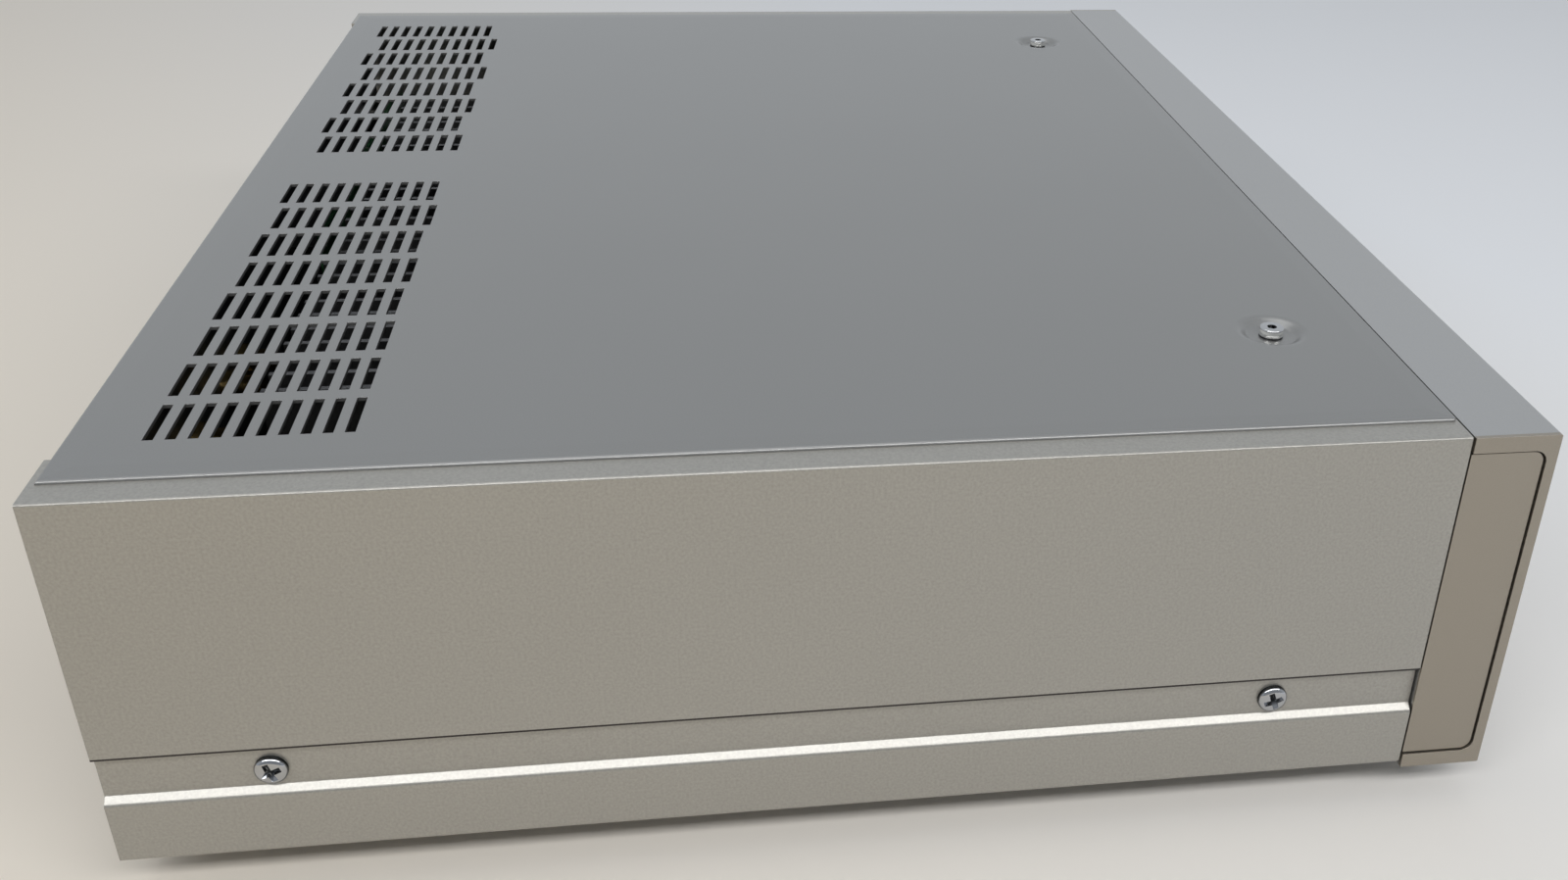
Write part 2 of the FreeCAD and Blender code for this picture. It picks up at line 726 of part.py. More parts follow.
def floor_slots():
    """Air slots in the floor, in two groups under the amplifier board."""
    slots = []
    middle = (AMP_BOARD_Y0 + AMP_BOARD_Y1) / 2
    for group_x in (FLOOR_SLOT_X, FLOOR_SLOT_X + 2 * FLOOR_SLOT_LENGTH):
        for i in range(FLOOR_SLOT_COUNT):
            y = middle + FLOOR_SLOT_PITCH * (i - (FLOOR_SLOT_COUNT - 1) / 2)
            y0, y1 = y - FLOOR_SLOT_WIDTH / 2, y + FLOOR_SLOT_WIDTH / 2
            plan = rectangle(group_x, group_x + FLOOR_SLOT_LENGTH, y0, y1)
            slots.append(prism(plan, sharp(plan), on_xy(Z_TRAY - 1), V(0, 0, TRAY_SHEET + 2)))
    return slots


def side_panel():
    """The right side panel, with the two stepped tabs that its screws hold."""
    low = Z_TRAY + PANEL_BOTTOM
    path = [(HALF_WIDTH, low), (HALF_WIDTH, Z_TOP), (FLANGE_IN, Z_TOP)]
    reach = V(0, Y_REAR - Y_CASE, 0)
    inner_r = TRAY_BEND_R
    panel = bent_sheet(path, PANEL_SHEET, inner_r, PANEL_EDGE_R, on_xz(Y_CASE), reach)
    return fused(panel, [panel_tab(y) for y in side_screw_rows()])


def panel_tab(y):
    face_x = HALF_WIDTH - PANEL_SHEET
    step_z = Z_TRAY + TRAY_UPPER_HEIGHT + TRAY_SHEET
    path = [(WALL_IN, Z_TRAY + PANEL_TAB_BOTTOM), (WALL_IN, step_z)]
    path += [(face_x, step_z + TRAY_SHEET), (face_x, Z_TRAY + PANEL_TAB_TOP)]
    start = y - PANEL_TAB_WIDTH / 2
    tab = bent_sheet(path, TRAY_SHEET, 0.0, 0.0, on_xz(start), V(0, PANEL_TAB_WIDTH, 0))
    return tab.cut(rod_x(M4_R + SCREW_GAP, y, Z_TRAY + SIDE_SCREW_Z, 0.0, HALF_WIDTH))


def fascia_section():
    low_in = FASCIA_LOW + FASCIA_FLANGE
    top_in = Z_TOP - FASCIA_FLANGE
    outer = [(Y_FASCIA, FASCIA_LOW), (Y_FACE, FASCIA_LOW), (Y_FACE, Z_TOP), (Y_FASCIA, Z_TOP)]
    inner = [(Y_FASCIA, top_in), (Y_WALL, top_in), (Y_WALL, low_in), (Y_FASCIA, low_in)]
    corner_r = CAP_CORNER_R + CAP_GAP
    radii = [0.0, FASCIA_EDGE_R, FASCIA_EDGE_R, 0.0, 0.0, corner_r, corner_r, 0.0]
    return prism(outer + inner, radii, on_yz(-FASCIA_HALF), V(2 * FASCIA_HALF, 0, 0))


def front_fascia():
    bosses = []
    holes = []
    for x, z in boss_places():
        bosses.append(rod_y(BOSS_R, x, z, Y_WALL - 1, Y_FASCIA))
        holes.append(rod_y(M3_R + SCREW_GAP, x, z, Y_FASCIA - SHORT_SCREW, Y_FASCIA + 1))
    return drilled(fused(fascia_section(), bosses), holes + control_openings())


def through_wall(radius, x, z):
    return rod_y(radius, x, z, Y_FACE - 1, Y_WALL + 1)


def control_openings():
    """The openings in the front wall for shafts, buttons, window and headphone socket."""
    shaft_r = SHAFT_R + SHAFT_HOLE_GAP
    cuts = [through_wall(shaft_r, VOLUME_X, VOLUME_Z), through_wall(shaft_r, INPUT_X, INPUT_Z)]
    cuts += [through_wall(shaft_r, x, ROW_Z) for x in tone_places()]
    cuts += [through_wall(BUTTON_R + BUTTON_GAP, x, ROW_Z) for x in button_places()]
    cuts.append(through_wall(POWER_R + BUTTON_GAP, POWER_X, ROW_Z))
    cuts.append(through_wall(PHONES_NOSE_R + BUTTON_GAP, PHONES_X, ROW_Z))
    half_w = WINDOW_WIDTH / 2
    half_h = WINDOW_HEIGHT / 2
    plan = rectangle(WINDOW_X - half_w, WINDOW_X + half_w, WINDOW_Z - half_h, WINDOW_Z + half_h)
    cuts.append(prism(plan, sharp(plan), on_xz(Y_FACE - 1), V(0, FASCIA_WALL + 2, 0)))
    return cuts


def end_cap():
    """The right end cap: a plate in the open end of the fascia, on a spigot that fits inside."""
    outer_x = FASCIA_HALF - CAP_INSET
    inner_x = outer_x - CAP_SHEET
    low = FASCIA_LOW + FASCIA_FLANGE
    top = Z_TOP - FASCIA_FLANGE
    plan = rectangle(Y_WALL + CAP_GAP, Y_FASCIA, low + CAP_GAP, top - CAP_GAP)
    radii = [CAP_CORNER_R, 0.0, 0.0, CAP_CORNER_R]
    plate = prism(plan, radii, on_yz(inner_x), V(CAP_SHEET, 0, 0))
    y0 = Y_WALL + CAP_SPIGOT_INSET
    y1 = Y_FASCIA - CAP_SPIGOT_INSET
    return fused(plate, [box(inner_x - CAP_SPIGOT, inner_x, y0, y1, low, top)])


def front_subchassis():
    low = Z_TRAY + SEAT_GAP
    path = [(Y_FASCIA + RAIL_DEPTH, Z_SEAT), (Y_FASCIA, Z_SEAT), (Y_FASCIA, low)]
    bend = SUBCHASSIS_SHEET + TRAY_BEND_R
    reach = V(2 * MIDDLE_HALF, 0, 0)
    middle = bent_sheet(path, SUBCHASSIS_SHEET, TRAY_BEND_R, bend, on_yz(-MIDDLE_HALF), reach)
    half = HALF_WIDTH - SUBCHASSIS_INSET
    wing_top = Z_TOP - PANEL_SHEET - SEAT_GAP
    wings = both_sides(box(MIDDLE_HALF, half, Y_FASCIA, Y_FRONT, low, wing_top))
    pads = [rod_y(PAD_R, x, z, Y_FASCIA - PAD_HEIGHT, Y_FASCIA) for x, z in pad_places()]
    holes = [rod_y(M3_R + HOLE_GAP, x, z, Y_FASCIA - 1, Y_FRONT + 1) for x, z in boss_places()]
    pad_front = Y_FASCIA - PAD_HEIGHT - 1
    holes += [rod_y(M3_R + SCREW_GAP, x, z, pad_front, Y_FRONT + 1) for x, z in pad_places()]
    holes += [through_plate(BUSH_R + HOLE_GAP, x, z) for x, z in bush_places()]
    holes.append(phones_cut(Y_FASCIA - 1, Y_FRONT + 1))
    for side in (-1, 1):
        holes.append(rod_z(M4_R + SCREW_GAP, side * DISH_X, COVER_SCREW_Y, Z_SEAT - 3, Z_SEAT + 1))
    return drilled(fused(middle, wings + pads), holes)


def bush_places():
    return [(VOLUME_X, VOLUME_Z), (INPUT_X, INPUT_Z)] + [(x, ROW_Z) for x in tone_places()]


def through_plate(radius, x, z):
    return rod_y(radius, x, z, Y_FASCIA - 1, Y_FRONT + 1)


def phones_cut(y0, y1):
    half = PHONES_BODY / 2 + HOLE_GAP
    return box(PHONES_X - half, PHONES_X + half, y0, y1, ROW_Z - half, ROW_Z + half)


def rear_panel():
    path = [(Y_PANEL - REAR_FLANGE, Z_FLOOR), (Y_PANEL, Z_FLOOR)]
    path += [(Y_PANEL, Z_TOP), (Y_PANEL - REAR_FLANGE, Z_TOP)]
    bend = REAR_SHEET + TRAY_BEND_R
    reach = V(2 * MIDDLE_HALF, 0, 0)
    middle = bent_sheet(path, REAR_SHEET, TRAY_BEND_R, bend, on_yz(-MIDDLE_HALF), reach)
    wing_top = Z_TOP - PANEL_SHEET - SEAT_GAP
    wing_half = WALL_IN - TRAY_SHEET - SEAT_GAP
    wings = both_sides(box(MIDDLE_HALF, wing_half, Y_PANEL_IN, Y_PANEL, Z_FLOOR, wing_top))
    return drilled(fused(middle, wings), rear_openings())


def through_rear(radius, x, z):
    return rod_y(radius, x, z, Y_PANEL_IN - 1, Y_PANEL + 1)


def rear_openings():
    cuts = [through_rear(RCA_NOSE_R + HOLE_GAP, x, z) for x, z in rca_places()]
    cuts += [through_rear(POST_STUD_R + 1.0, x, POST_MID_Z) for x in post_places()]
    cuts.append(through_rear(FM_BARREL_R + HOLE_GAP, AERIAL_X, Z_TRAY + FM_Z))
    for z in (Z_TRAY + LIP_SCREW_INSET, Z_COVER - LIP_SCREW_INSET):
        cuts += [through_rear(M3_R + SCREW_GAP, x, z) for x in lip_screw_places()]
    plan = inlet_outline(INLET_WALL + HOLE_GAP)
    cuts.append(prism(plan, sharp(plan), on_xz(Y_PANEL_IN - 1), V(0, REAR_SHEET + 2, 0)))
    return cuts


# Fasteners


def pan_screw(head_r, head, shank_r, length):
    """A screw along +Z from its seat at the origin: shank below, domed head above."""
    shank = rod_z(shank_r, 0.0, 0.0, -length, 0.0)
    corners = [(0.0, 0.0), (head_r, 0.0), (head_r, head * 0.5), (head_r * 0.7, head), (0.0, head)]
    outline = bevelled(corners, [0.0, 0.0, head * 0.2, head * 0.3, 0.0])
    cap = turned_upright(outline, 0.0, 0.0)
    return cap.fuse(shank).removeSplitter()


def placed(shape, seat, direction):
    """A copy of a screw, moved so that its head points along a direction."""
    copy = shape.copy()
    copy.Placement = FreeCAD.Placement(seat, FreeCAD.Rotation(V(0, 0, 1), direction))
    return copy


def side_screws():
    screw = pan_screw(M4_HEAD_R, M4_HEAD, M4_R, SIDE_SCREW_LENGTH)
    z = Z_TRAY + SIDE_SCREW_Z
    x = HALF_WIDTH - TRAY_STEP
    right = [placed(screw, V(x, y, z), V(1, 0, 0)) for y in side_screw_rows()]
    return right + [mirrored(item) for item in right]


def cover_screws():
    screws = []
    seat = Z_SEAT + COVER_SHEET
    for side in (-1, 1):
        x = side * DISH_X
        head = rod_z(COVER_SCREW_HEAD_R, x, COVER_SCREW_Y, seat, seat + COVER_SCREW_HEAD)
        shank = rod_z(M4_R, x, COVER_SCREW_Y, seat - COVER_SCREW_LENGTH, seat)
        corner_r = HEX_SOCKET / 2 / cos(pi / 6)
        turns = [i * pi / 3 for i in range(6)]
        corners = [(x + corner_r * cos(turn), COVER_SCREW_Y + corner_r * sin(turn)) for turn in turns]
        floor_z = seat + COVER_SCREW_HEAD - HEX_DEPTH
        socket = prism(corners, sharp(corners), on_xy(floor_z), V(0, 0, HEX_DEPTH + 1))
        screws.append(head.fuse(shank).removeSplitter().cut(socket))
    return screws


def plain_screw(head_r, head, shank_r, length):
    cap = rod_z(head_r, 0.0, 0.0, 0.0, head)
    return cap.fuse(rod_z(shank_r, 0.0, 0.0, -length, 0.0)).removeSplitter()


def chassis_screws():
    """All the small pan-head screws of one size: fascia, rear lips, boards and transistors."""
    screw = plain_screw(M3_HEAD_R, M3_HEAD, M3_R, SHORT_SCREW)
    forward = V(0, -1, 0)
    rearward = V(0, 1, 0)
    screws = []
    for x, z in boss_places():
        seat = Y_FRONT + TRAY_SHEET if z == BOSS_LOW else Y_FRONT
        screws.append(placed(screw, V(x, seat, z), rearward))
    for x in lip_screw_places():
        screws.append(placed(screw, V(x, Y_COVER_REAR, Z_COVER - LIP_SCREW_INSET), rearward))
        screws.append(placed(screw, V(x, Y_PANEL + TRAY_SHEET, Z_TRAY + LIP_SCREW_INSET), rearward))
    screws += [placed(screw, V(x, Y_CONTROL, z), forward) for x, z in pad_places()]
    screws += [placed(screw, V(x, y, AMP_BOARD_TOP), V(0, 0, 1)) for x, y in standoff_places()]
    y = HEATSINK_Y0 - TRANSISTOR_THICK
    z = Z_TRAY + TRANSISTOR_Z + TRANSISTOR_HEIGHT * 0.7
    screws += [placed(screw, V(x, y, z), forward) for x in transistor_places()]
    return screws


# Feet


def feet():
    under = PAD_RING_PROUD
    top = FOOT_HEIGHT
    web_low = top - FOOT_WEB
    hole_r = M4_R + HOLE_GAP
    outline = [(hole_r, top), (hole_r, web_low), (FOOT_WELL_R, web_low), (FOOT_WELL_R, under)]
    groove = under + PAD_RING_THICK - PAD_RING_PROUD
    inner = PAD_RING_INNER_R - PAD_RING_GAP
    outer = PAD_RING_OUTER_R + PAD_RING_GAP
    outline += [(inner, under), (inner, groove), (outer, groove), (outer, under)]
    outline += [(FOOT_BOTTOM_R, under), (FOOT_TOP_R, top - FOOT_FLARE), (FOOT_TOP_R, top)]
    return [turned_upright(outline, x, y) for x, y in foot_places()]


def foot_pads():
    outline = rectangle(PAD_RING_INNER_R, PAD_RING_OUTER_R, 0.0, PAD_RING_THICK)
    return [turned_upright(outline, x, y) for x, y in foot_places()]


def foot_screws():
    screw = plain_screw(M4_HEAD_R, M4_HEAD, M4_R, FOOT_WEB + TRAY_SHEET + 3.0)
    seat = FOOT_HEIGHT - FOOT_WEB
    return [placed(screw, V(x, y, seat), V(0, 0, -1)) for x, y in foot_places()]


# Front controls


def knob(radius, length, x, z):
    """A turned knob with a bevelled rim, a shallow dished face, and a pointer groove."""
    front = Y_KNOB - length
    rim_r = radius - 2 * KNOB_CHAMFER
    outline = [(0.0, Y_KNOB), (radius - KNOB_CHAMFER, Y_KNOB), (radius, Y_KNOB - KNOB_CHAMFER)]
    outline += [(radius, front + KNOB_CHAMFER), (radius - KNOB_CHAMFER, front)]
    outline += [(rim_r, front), (rim_r - KNOB_DISH, front + KNOB_DISH), (0.0, front + KNOB_DISH)]
    body = turned(outline, x, z)
    half = POINTER_WIDTH / 2
    groove_y = front + KNOB_DISH + POINTER_DEPTH
    pointer = box(x - half, x + half, front - 1, groove_y, z + radius * 0.45, z + rim_r - 1.5)
    return body.cut(pointer)


def shaft_knob(radius, length, x, z):
    """A knob with a blind bore that grips its shaft."""
    depth = length * 0.7
    return knob(radius, length, x, z).cut(rod_y(SHAFT_R + PRESS_GAP, x, z, Y_KNOB - depth, Y_KNOB + 1))


def shaft(length, depth, x, z):
    """The shaft of a control, from inside its body to inside its knob."""
    front = Y_KNOB - length * 0.7 + SEAT_GAP
    return rod_y(SHAFT_R, x, z, front, Y_FRONT + depth - POT_BACK - SEAT_GAP)


def stem_knob(x):
    """A tone knob with the stem moulded on."""
    stem = rod_y(SHAFT_R, x, ROW_Z, Y_KNOB, Y_FRONT + TONE_POT_DEPTH - POT_BACK - SEAT_GAP)
    return fused(knob(TONE_R, TONE_LENGTH, x, ROW_Z), [stem])


def rotary_body(size, depth, x, z):
    """A potentiometer or encoder: square body behind the sub-chassis and a bush through it."""
    half = size / 2
    body = box(x - half, x + half, Y_FRONT, Y_FRONT + depth, z - half, z + half)
    bush = rod_y(BUSH_R, x, z, Y_FASCIA - BUSH_REACH, Y_FRONT)
    bore = rod_y(SHAFT_R + SHAFT_GAP, x, z, Y_FASCIA - BUSH_REACH - 1, Y_FRONT + depth - POT_BACK)
    return fused(body, [bush]).cut(bore)


def button(radius, proud, cap, stem_r, x):
    y0 = Y_FACE - proud
    corners = [(0.0, y0), (radius, y0), (radius, y0 + cap), (stem_r, y0 + cap)]
    corners += [(stem_r, Y_SWITCH + STEM_REACH), (0.0, Y_SWITCH + STEM_REACH)]
    return turned(bevelled(corners, [0.0, BUTTON_EDGE, 0.0, 0.0, 0.0, 0.0]), x, ROW_Z)


def switch_body(stem_r, travel, x):
    half = stem_r + SWITCH_WALL
    body = box(x - half, x + half, Y_SWITCH, Y_CONTROL, ROW_Z - half, ROW_Z + half)
    bore_end = Y_SWITCH + STEM_REACH + travel + STEM_SPARE
    return body.cut(rod_y(stem_r + SHAFT_GAP, x, ROW_Z, Y_SWITCH - 1, bore_end))


def button_switches():
    bodies = [switch_body(BUTTON_STEM_R, BUTTON_TRAVEL, x) for x in button_places()]
    return bodies + [switch_body(POWER_STEM_R, POWER_TRAVEL, POWER_X)]


def display_window():
    """A clear stepped plate: its rim seats behind the front wall, its middle fills the opening."""
    half_w = WINDOW_WIDTH / 2 - WINDOW_GAP
    half_h = WINDOW_HEIGHT / 2 - WINDOW_GAP
    y0 = Y_FACE + WINDOW_RECESS
    middle = box(WINDOW_X - half_w, WINDOW_X + half_w, y0, Y_WALL, WINDOW_Z - half_h, WINDOW_Z + half_h)
    rim_w = half_w + WINDOW_RIM
    rim_h = half_h + WINDOW_RIM
    y1 = Y_WALL + WINDOW_BACK
    rim = box(WINDOW_X - rim_w, WINDOW_X + rim_w, Y_WALL, y1, WINDOW_Z - rim_h, WINDOW_Z + rim_h)
    return fused(middle, [rim])


def display_tube():
    half_w = WINDOW_WIDTH / 2 - TUBE_MARGIN
    half_h = WINDOW_HEIGHT / 2 - TUBE_MARGIN / 2
    y0 = Y_CONTROL - TUBE_DEPTH
    return box(WINDOW_X - half_w, WINDOW_X + half_w, y0, Y_CONTROL, WINDOW_Z - half_h, WINDOW_Z + half_h)


def control_board():
    half = BOSS_X - SEAT_GAP
    y0 = Y_CONTROL
    y1 = Y_CONTROL + BOARD_SHEET
    board = box(-half, half, y0, y1, CONTROL_LOW, CONTROL_TOP)
    cuts = [rod_y(BUSH_R + 1.0, x, z, y0 - 1, y1 + 1) for x, z in bush_places()]
    cuts += [rod_y(M3_R + HOLE_GAP, x, z, y0 - 1, y1 + 1) for x, z in pad_places()]
    cuts.append(phones_cut(y0 - 1, y1 + 1))
    return board.cut(cuts)


def headphone_jack():
    """A 6.35 mm socket: its nose fills a hole in the fascia and its body seats on the wall."""
    half = PHONES_BODY / 2
    front = Y_FACE - PHONES_NOSE_PROUD
    end = front + PHONES_BORE_DEPTH + PHONES_WALL
    body = box(PHONES_X - half, PHONES_X + half, Y_WALL, end, ROW_Z - half, ROW_Z + half)
    nose = rod_y(PHONES_NOSE_R, PHONES_X, ROW_Z, front, Y_WALL)
    bore = rod_y(PHONES_BORE_R, PHONES_X, ROW_Z, front - 1, front + PHONES_BORE_DEPTH)
    return fused(body, [nose]).cut(bore)


# Electronics


def amplifier_board():
    board = box(AMP_BOARD_X0, AMP_BOARD_X1, AMP_BOARD_Y0, AMP_BOARD_Y1, AMP_BOARD_Z, AMP_BOARD_TOP)
    holes = [rod_z(M3_R + HOLE_GAP, x, y, AMP_BOARD_Z - 1, AMP_BOARD_TOP + 1) for x, y in standoff_places()]
    return board.cut(holes)


def board_standoffs():
    outline = rectangle(M3_R + SCREW_GAP, STANDOFF_R, Z_FLOOR, AMP_BOARD_Z)
    return [turned_upright(outline, x, y) for x, y in standoff_places()]


def heatsink():
    """An extrusion that stands on the tray floor, with fins that point to the rear."""
    half = HEATSINK_HALF
    base_y = HEATSINK_Y0 + HEATSINK_BASE
    count = int((2 * half - FIN_THICK) // FIN_PITCH)
    start = -(count * FIN_PITCH + FIN_THICK) / 2
    points = [(start, HEATSINK_Y0)]
    for i in range(count + 1):
        x = start + FIN_PITCH * i
        points += [(x, base_y), (x, HEATSINK_Y1), (x + FIN_THICK, HEATSINK_Y1), (x + FIN_THICK, base_y)]
    points.pop(1)
    points.pop()
    points.append((-start, HEATSINK_Y0))
    body = prism(points, sharp(points), on_xy(Z_FLOOR), V(0, 0, HEATSINK_HEIGHT))
    z = Z_TRAY + TRANSISTOR_Z + TRANSISTOR_HEIGHT * 0.7
    end = HEATSINK_Y0 + SHORT_SCREW - TRANSISTOR_THICK + 1
    return body.cut([rod_y(M3_R + SCREW_GAP, x, z, HEATSINK_Y0 - 1, end) for x in transistor_places()])


def output_transistors():
    half = TRANSISTOR_WIDTH / 2
    y0 = HEATSINK_Y0 - TRANSISTOR_THICK
    z0 = Z_TRAY + TRANSISTOR_Z
    hole_z = z0 + TRANSISTOR_HEIGHT * 0.7
    solids = []
    for x in transistor_places():
        case = box(x - half, x + half, y0, HEATSINK_Y0, z0, z0 + TRANSISTOR_HEIGHT)
        solids.append(case.cut(rod_y(M3_R + HOLE_GAP, x, hole_z, y0 - 1, HEATSINK_Y0 + 1)))
    return solids


def filter_capacitors():
    top = AMP_BOARD_TOP + CAPACITOR_HEIGHT
    y = AMP_BOARD_Y0 + CAPACITOR_Y
    outline = bevelled(rectangle(0.0, CAPACITOR_R, AMP_BOARD_TOP, top), [0.0, 0.0, CAPACITOR_EDGE, 0.0])
    first_x = AMP_BOARD_X0 + CAPACITOR_INSET
    return [turned_upright(outline, first_x + CAPACITOR_PITCH * i, y) for i in range(2)]


def power_transformer():
    """The wound ring, with its corners rounded off in two steps."""
    square = rectangle(TOROID_HOLE_R, TOROID_R, Z_FLOOR, Z_FLOOR + TOROID_HEIGHT)
    once = bevelled(square, [TOROID_EDGE] * 4)
    return turned_upright(bevelled(once, [TOROID_EDGE / 3] * 8), TOROID_X, TOROID_MID_Y)


def transformer_clamp():
    """A dished plate that presses the ring down, with its middle sunk into the ring's hole."""
    top = Z_FLOOR + TOROID_HEIGHT
    hole = BOLT_R + HOLE_GAP
    middle = TOROID_HOLE_R - 2.0
    path = [(CLAMP_R, top), (middle, top), (middle - CLAMP_DISH, top - CLAMP_DISH), (hole, top - CLAMP_DISH)]
    upper = [(hole, top - CLAMP_DISH + CLAMP_SHEET), (middle - CLAMP_DISH, top - CLAMP_DISH + CLAMP_SHEET)]
    upper += [(middle, top + CLAMP_SHEET), (CLAMP_R, top + CLAMP_SHEET)]
    outline = path + upper
    return turned_upright(outline, TOROID_X, TOROID_MID_Y)


def transformer_bolt():
    """The bolt runs down the ring's hole, from the clamp to a nut under the tray."""
    seat = Z_FLOOR + TOROID_HEIGHT - CLAMP_DISH + CLAMP_SHEET
    low = Z_TRAY - BOLT_HEAD
    shank = rod_z(BOLT_R, TOROID_X, TOROID_MID_Y, low, seat)
    head = rod_z(BOLT_HEAD_R, TOROID_X, TOROID_MID_Y, seat, seat + BOLT_HEAD)
    nut = rod_z(BOLT_HEAD_R, TOROID_X, TOROID_MID_Y, low, Z_TRAY)
    return fused(head, [shank, nut])


# Rear sockets


def rca_span():
    x1 = RCA_X + RCA_COLUMN_PITCH * (RCA_COLUMNS - 1)
    z1 = RCA_LOW_Z + RCA_ROW_PITCH * (RCA_ROWS - 1)
    margin = RCA_BLOCK_MARGIN
    return RCA_X - margin, x1 + margin, RCA_LOW_Z - margin, z1 + margin


def rca_block():
    """The moulded block behind the panel, with a nose and a core for each phono socket."""
    x0, x1, z0, z1 = rca_span()
    block = box(x0, x1, INPUT_BOARD_Y + BOARD_SHEET, Y_PANEL_IN, z0, z1)
    nose_end = Y_PANEL + RCA_NOSE_PROUD
    core_end = nose_end + RCA_CORE_LENGTH
    parts = []
    for x, z in rca_places():
        parts.append(rod_y(RCA_NOSE_R, x, z, Y_PANEL_IN, nose_end))
        parts.append(rod_y(RCA_CORE_R, x, z, nose_end, core_end))
    return fused(block, parts)


def rca_shells():
    y0 = Y_PANEL + RCA_NOSE_PROUD
    inner = RCA_SHELL_R - RCA_SHELL_WALL
    outline = rectangle(inner, RCA_SHELL_R, y0, y0 + RCA_SHELL_LENGTH)
    return [turned(outline, x, z) for x, z in rca_places()]


def input_board():
    x0, x1, z0, z1 = rca_span()
    margin = INPUT_BOARD_MARGIN
    right = HALF_WIDTH - INPUT_BOARD_SIDE_INSET
    return box(x0 - margin, right, INPUT_BOARD_Y, INPUT_BOARD_Y + BOARD_SHEET, z0 - margin, z1 + margin)


def tuner_module():
    right = HALF_WIDTH - INPUT_BOARD_SIDE_INSET - 1.0
    middle = RCA_LOW_Z + RCA_ROW_PITCH / 2
    low = middle - TUNER_HEIGHT / 2
    front = INPUT_BOARD_Y - TUNER_DEPTH
    return box(right - TUNER_WIDTH, right, front, INPUT_BOARD_Y, low, low + TUNER_HEIGHT)


def speaker_terminal_plate():
    xs = post_places()
    x0 = min(xs) - TERMINAL_MARGIN
    x1 = max(xs) + TERMINAL_MARGIN
    plan = rectangle(x0, x1, POST_MID_Z - TERMINAL_MARGIN, POST_MID_Z + TERMINAL_MARGIN)
    plate = prism(plan, [TERMINAL_CORNER_R] * 4, on_xz(Y_PANEL), V(0, TERMINAL_PLATE, 0))
    return plate.cut([rod_y(POST_STUD_R + HOLE_GAP, x, POST_MID_Z, Y_PANEL - 1, POST_BASE_Y + 1) for x in xs])


def binding_posts():
    """Brass studs: nut inside, shoulder outside, a bore for a 4 mm plug and a cross hole for wire."""
    posts = []
    nut_y = Y_PANEL_IN - POST_NUT
    shoulder_y = POST_BASE_Y + POST_SHOULDER
    hole_y = shoulder_y + WIRE_HOLE_STEP
    outline = [(0.0, nut_y - POST_INNER), (POST_STUD_R, nut_y - POST_INNER), (POST_STUD_R, nut_y)]
    outline += [(POST_NUT_R, nut_y), (POST_NUT_R, Y_PANEL_IN), (POST_STUD_R, Y_PANEL_IN)]
    outline += [(POST_STUD_R, POST_BASE_Y), (POST_SHOULDER_R, POST_BASE_Y), (POST_SHOULDER_R, shoulder_y)]
    outline += [(POST_STUD_R, shoulder_y), (POST_STUD_R, POST_END_Y), (BANANA_R, POST_END_Y)]
    outline += [(BANANA_R, POST_END_Y - BANANA_DEPTH), (0.0, POST_END_Y - BANANA_DEPTH)]
    for x in post_places():
        stud = turned(outline, x, POST_MID_Z)
        posts.append(stud.cut(rod_z(WIRE_HOLE_R, x, hole_y, POST_MID_Z - 10, POST_MID_Z + 10)))
    return posts


def post_cap(x):
    """A ribbed cap that turns on its stud."""
    y1 = POST_CAP_Y + POST_CAP_LENGTH
    points = []
    for i in range(4 * POST_RIBS):
        radius = POST_CAP_R if i % 4 < 2 else POST_CAP_R - POST_RIB_DEPTH
        angle = 2 * pi * (i - 0.5) / (4 * POST_RIBS)
        points.append((x + radius * cos(angle), POST_MID_Z + radius * sin(angle)))
    cap = prism(points, sharp(points), on_xz(POST_CAP_Y), V(0, POST_CAP_LENGTH, 0))
    return cap.cut(rod_y(POST_STUD_R + SHAFT_GAP, x, POST_MID_Z, POST_CAP_Y - 1, y1 + 1))


def inlet_outline(margin):
    """The mains inlet's outline, with its two upper corners cut off."""
    half_w = INLET_CAVITY_WIDTH / 2 + margin
    low = INLET_MID_Z - INLET_CAVITY_HEIGHT / 2 - margin
    top = INLET_MID_Z + INLET_CAVITY_HEIGHT / 2 + margin
    cut = INLET_CORNER
    return [
        (INLET_X - half_w, low),
        (INLET_X + half_w, low),
        (INLET_X + half_w, top - cut),
        (INLET_X + half_w - cut, top),
        (INLET_X - half_w + cut, top),
        (INLET_X - half_w, top - cut),
    ]


def blade_places():
    low_z = INLET_MID_Z - BLADE_RISE / 2
    half = BLADE_SPACING / 2
    return [(INLET_X - half, low_z), (INLET_X + half, low_z), (INLET_X, low_z + BLADE_RISE)]


def mains_inlet():
    front = Y_PANEL + INLET_RIM_SHEET
    floor_y = front - INLET_CAVITY_DEPTH
    rim_plan = inlet_outline(INLET_RIM + INLET_WALL)
    rim = prism(rim_plan, sharp(rim_plan), on_xz(Y_PANEL), V(0, INLET_RIM_SHEET, 0))
    body_plan = inlet_outline(INLET_WALL)
    body_y = floor_y - INLET_FLOOR
    body = prism(body_plan, sharp(body_plan), on_xz(body_y), V(0, front - body_y, 0))
    hollow_plan = inlet_outline(0.0)
    hollow = prism(hollow_plan, sharp(hollow_plan), on_xz(floor_y), V(0, INLET_CAVITY_DEPTH + 1, 0))
    slots = []
    for x, z in blade_places():
        slots.append(blade(x, z, floor_y - INLET_FLOOR - 1, floor_y + 1))
    return fused(body, [rim]).cut([hollow] + slots)


def blade(x, z, y0, y1):
    half_t = BLADE_THICK / 2
    half_w = BLADE_WIDTH / 2
    return box(x - half_t, x + half_t, y0, y1, z - half_w, z + half_w)


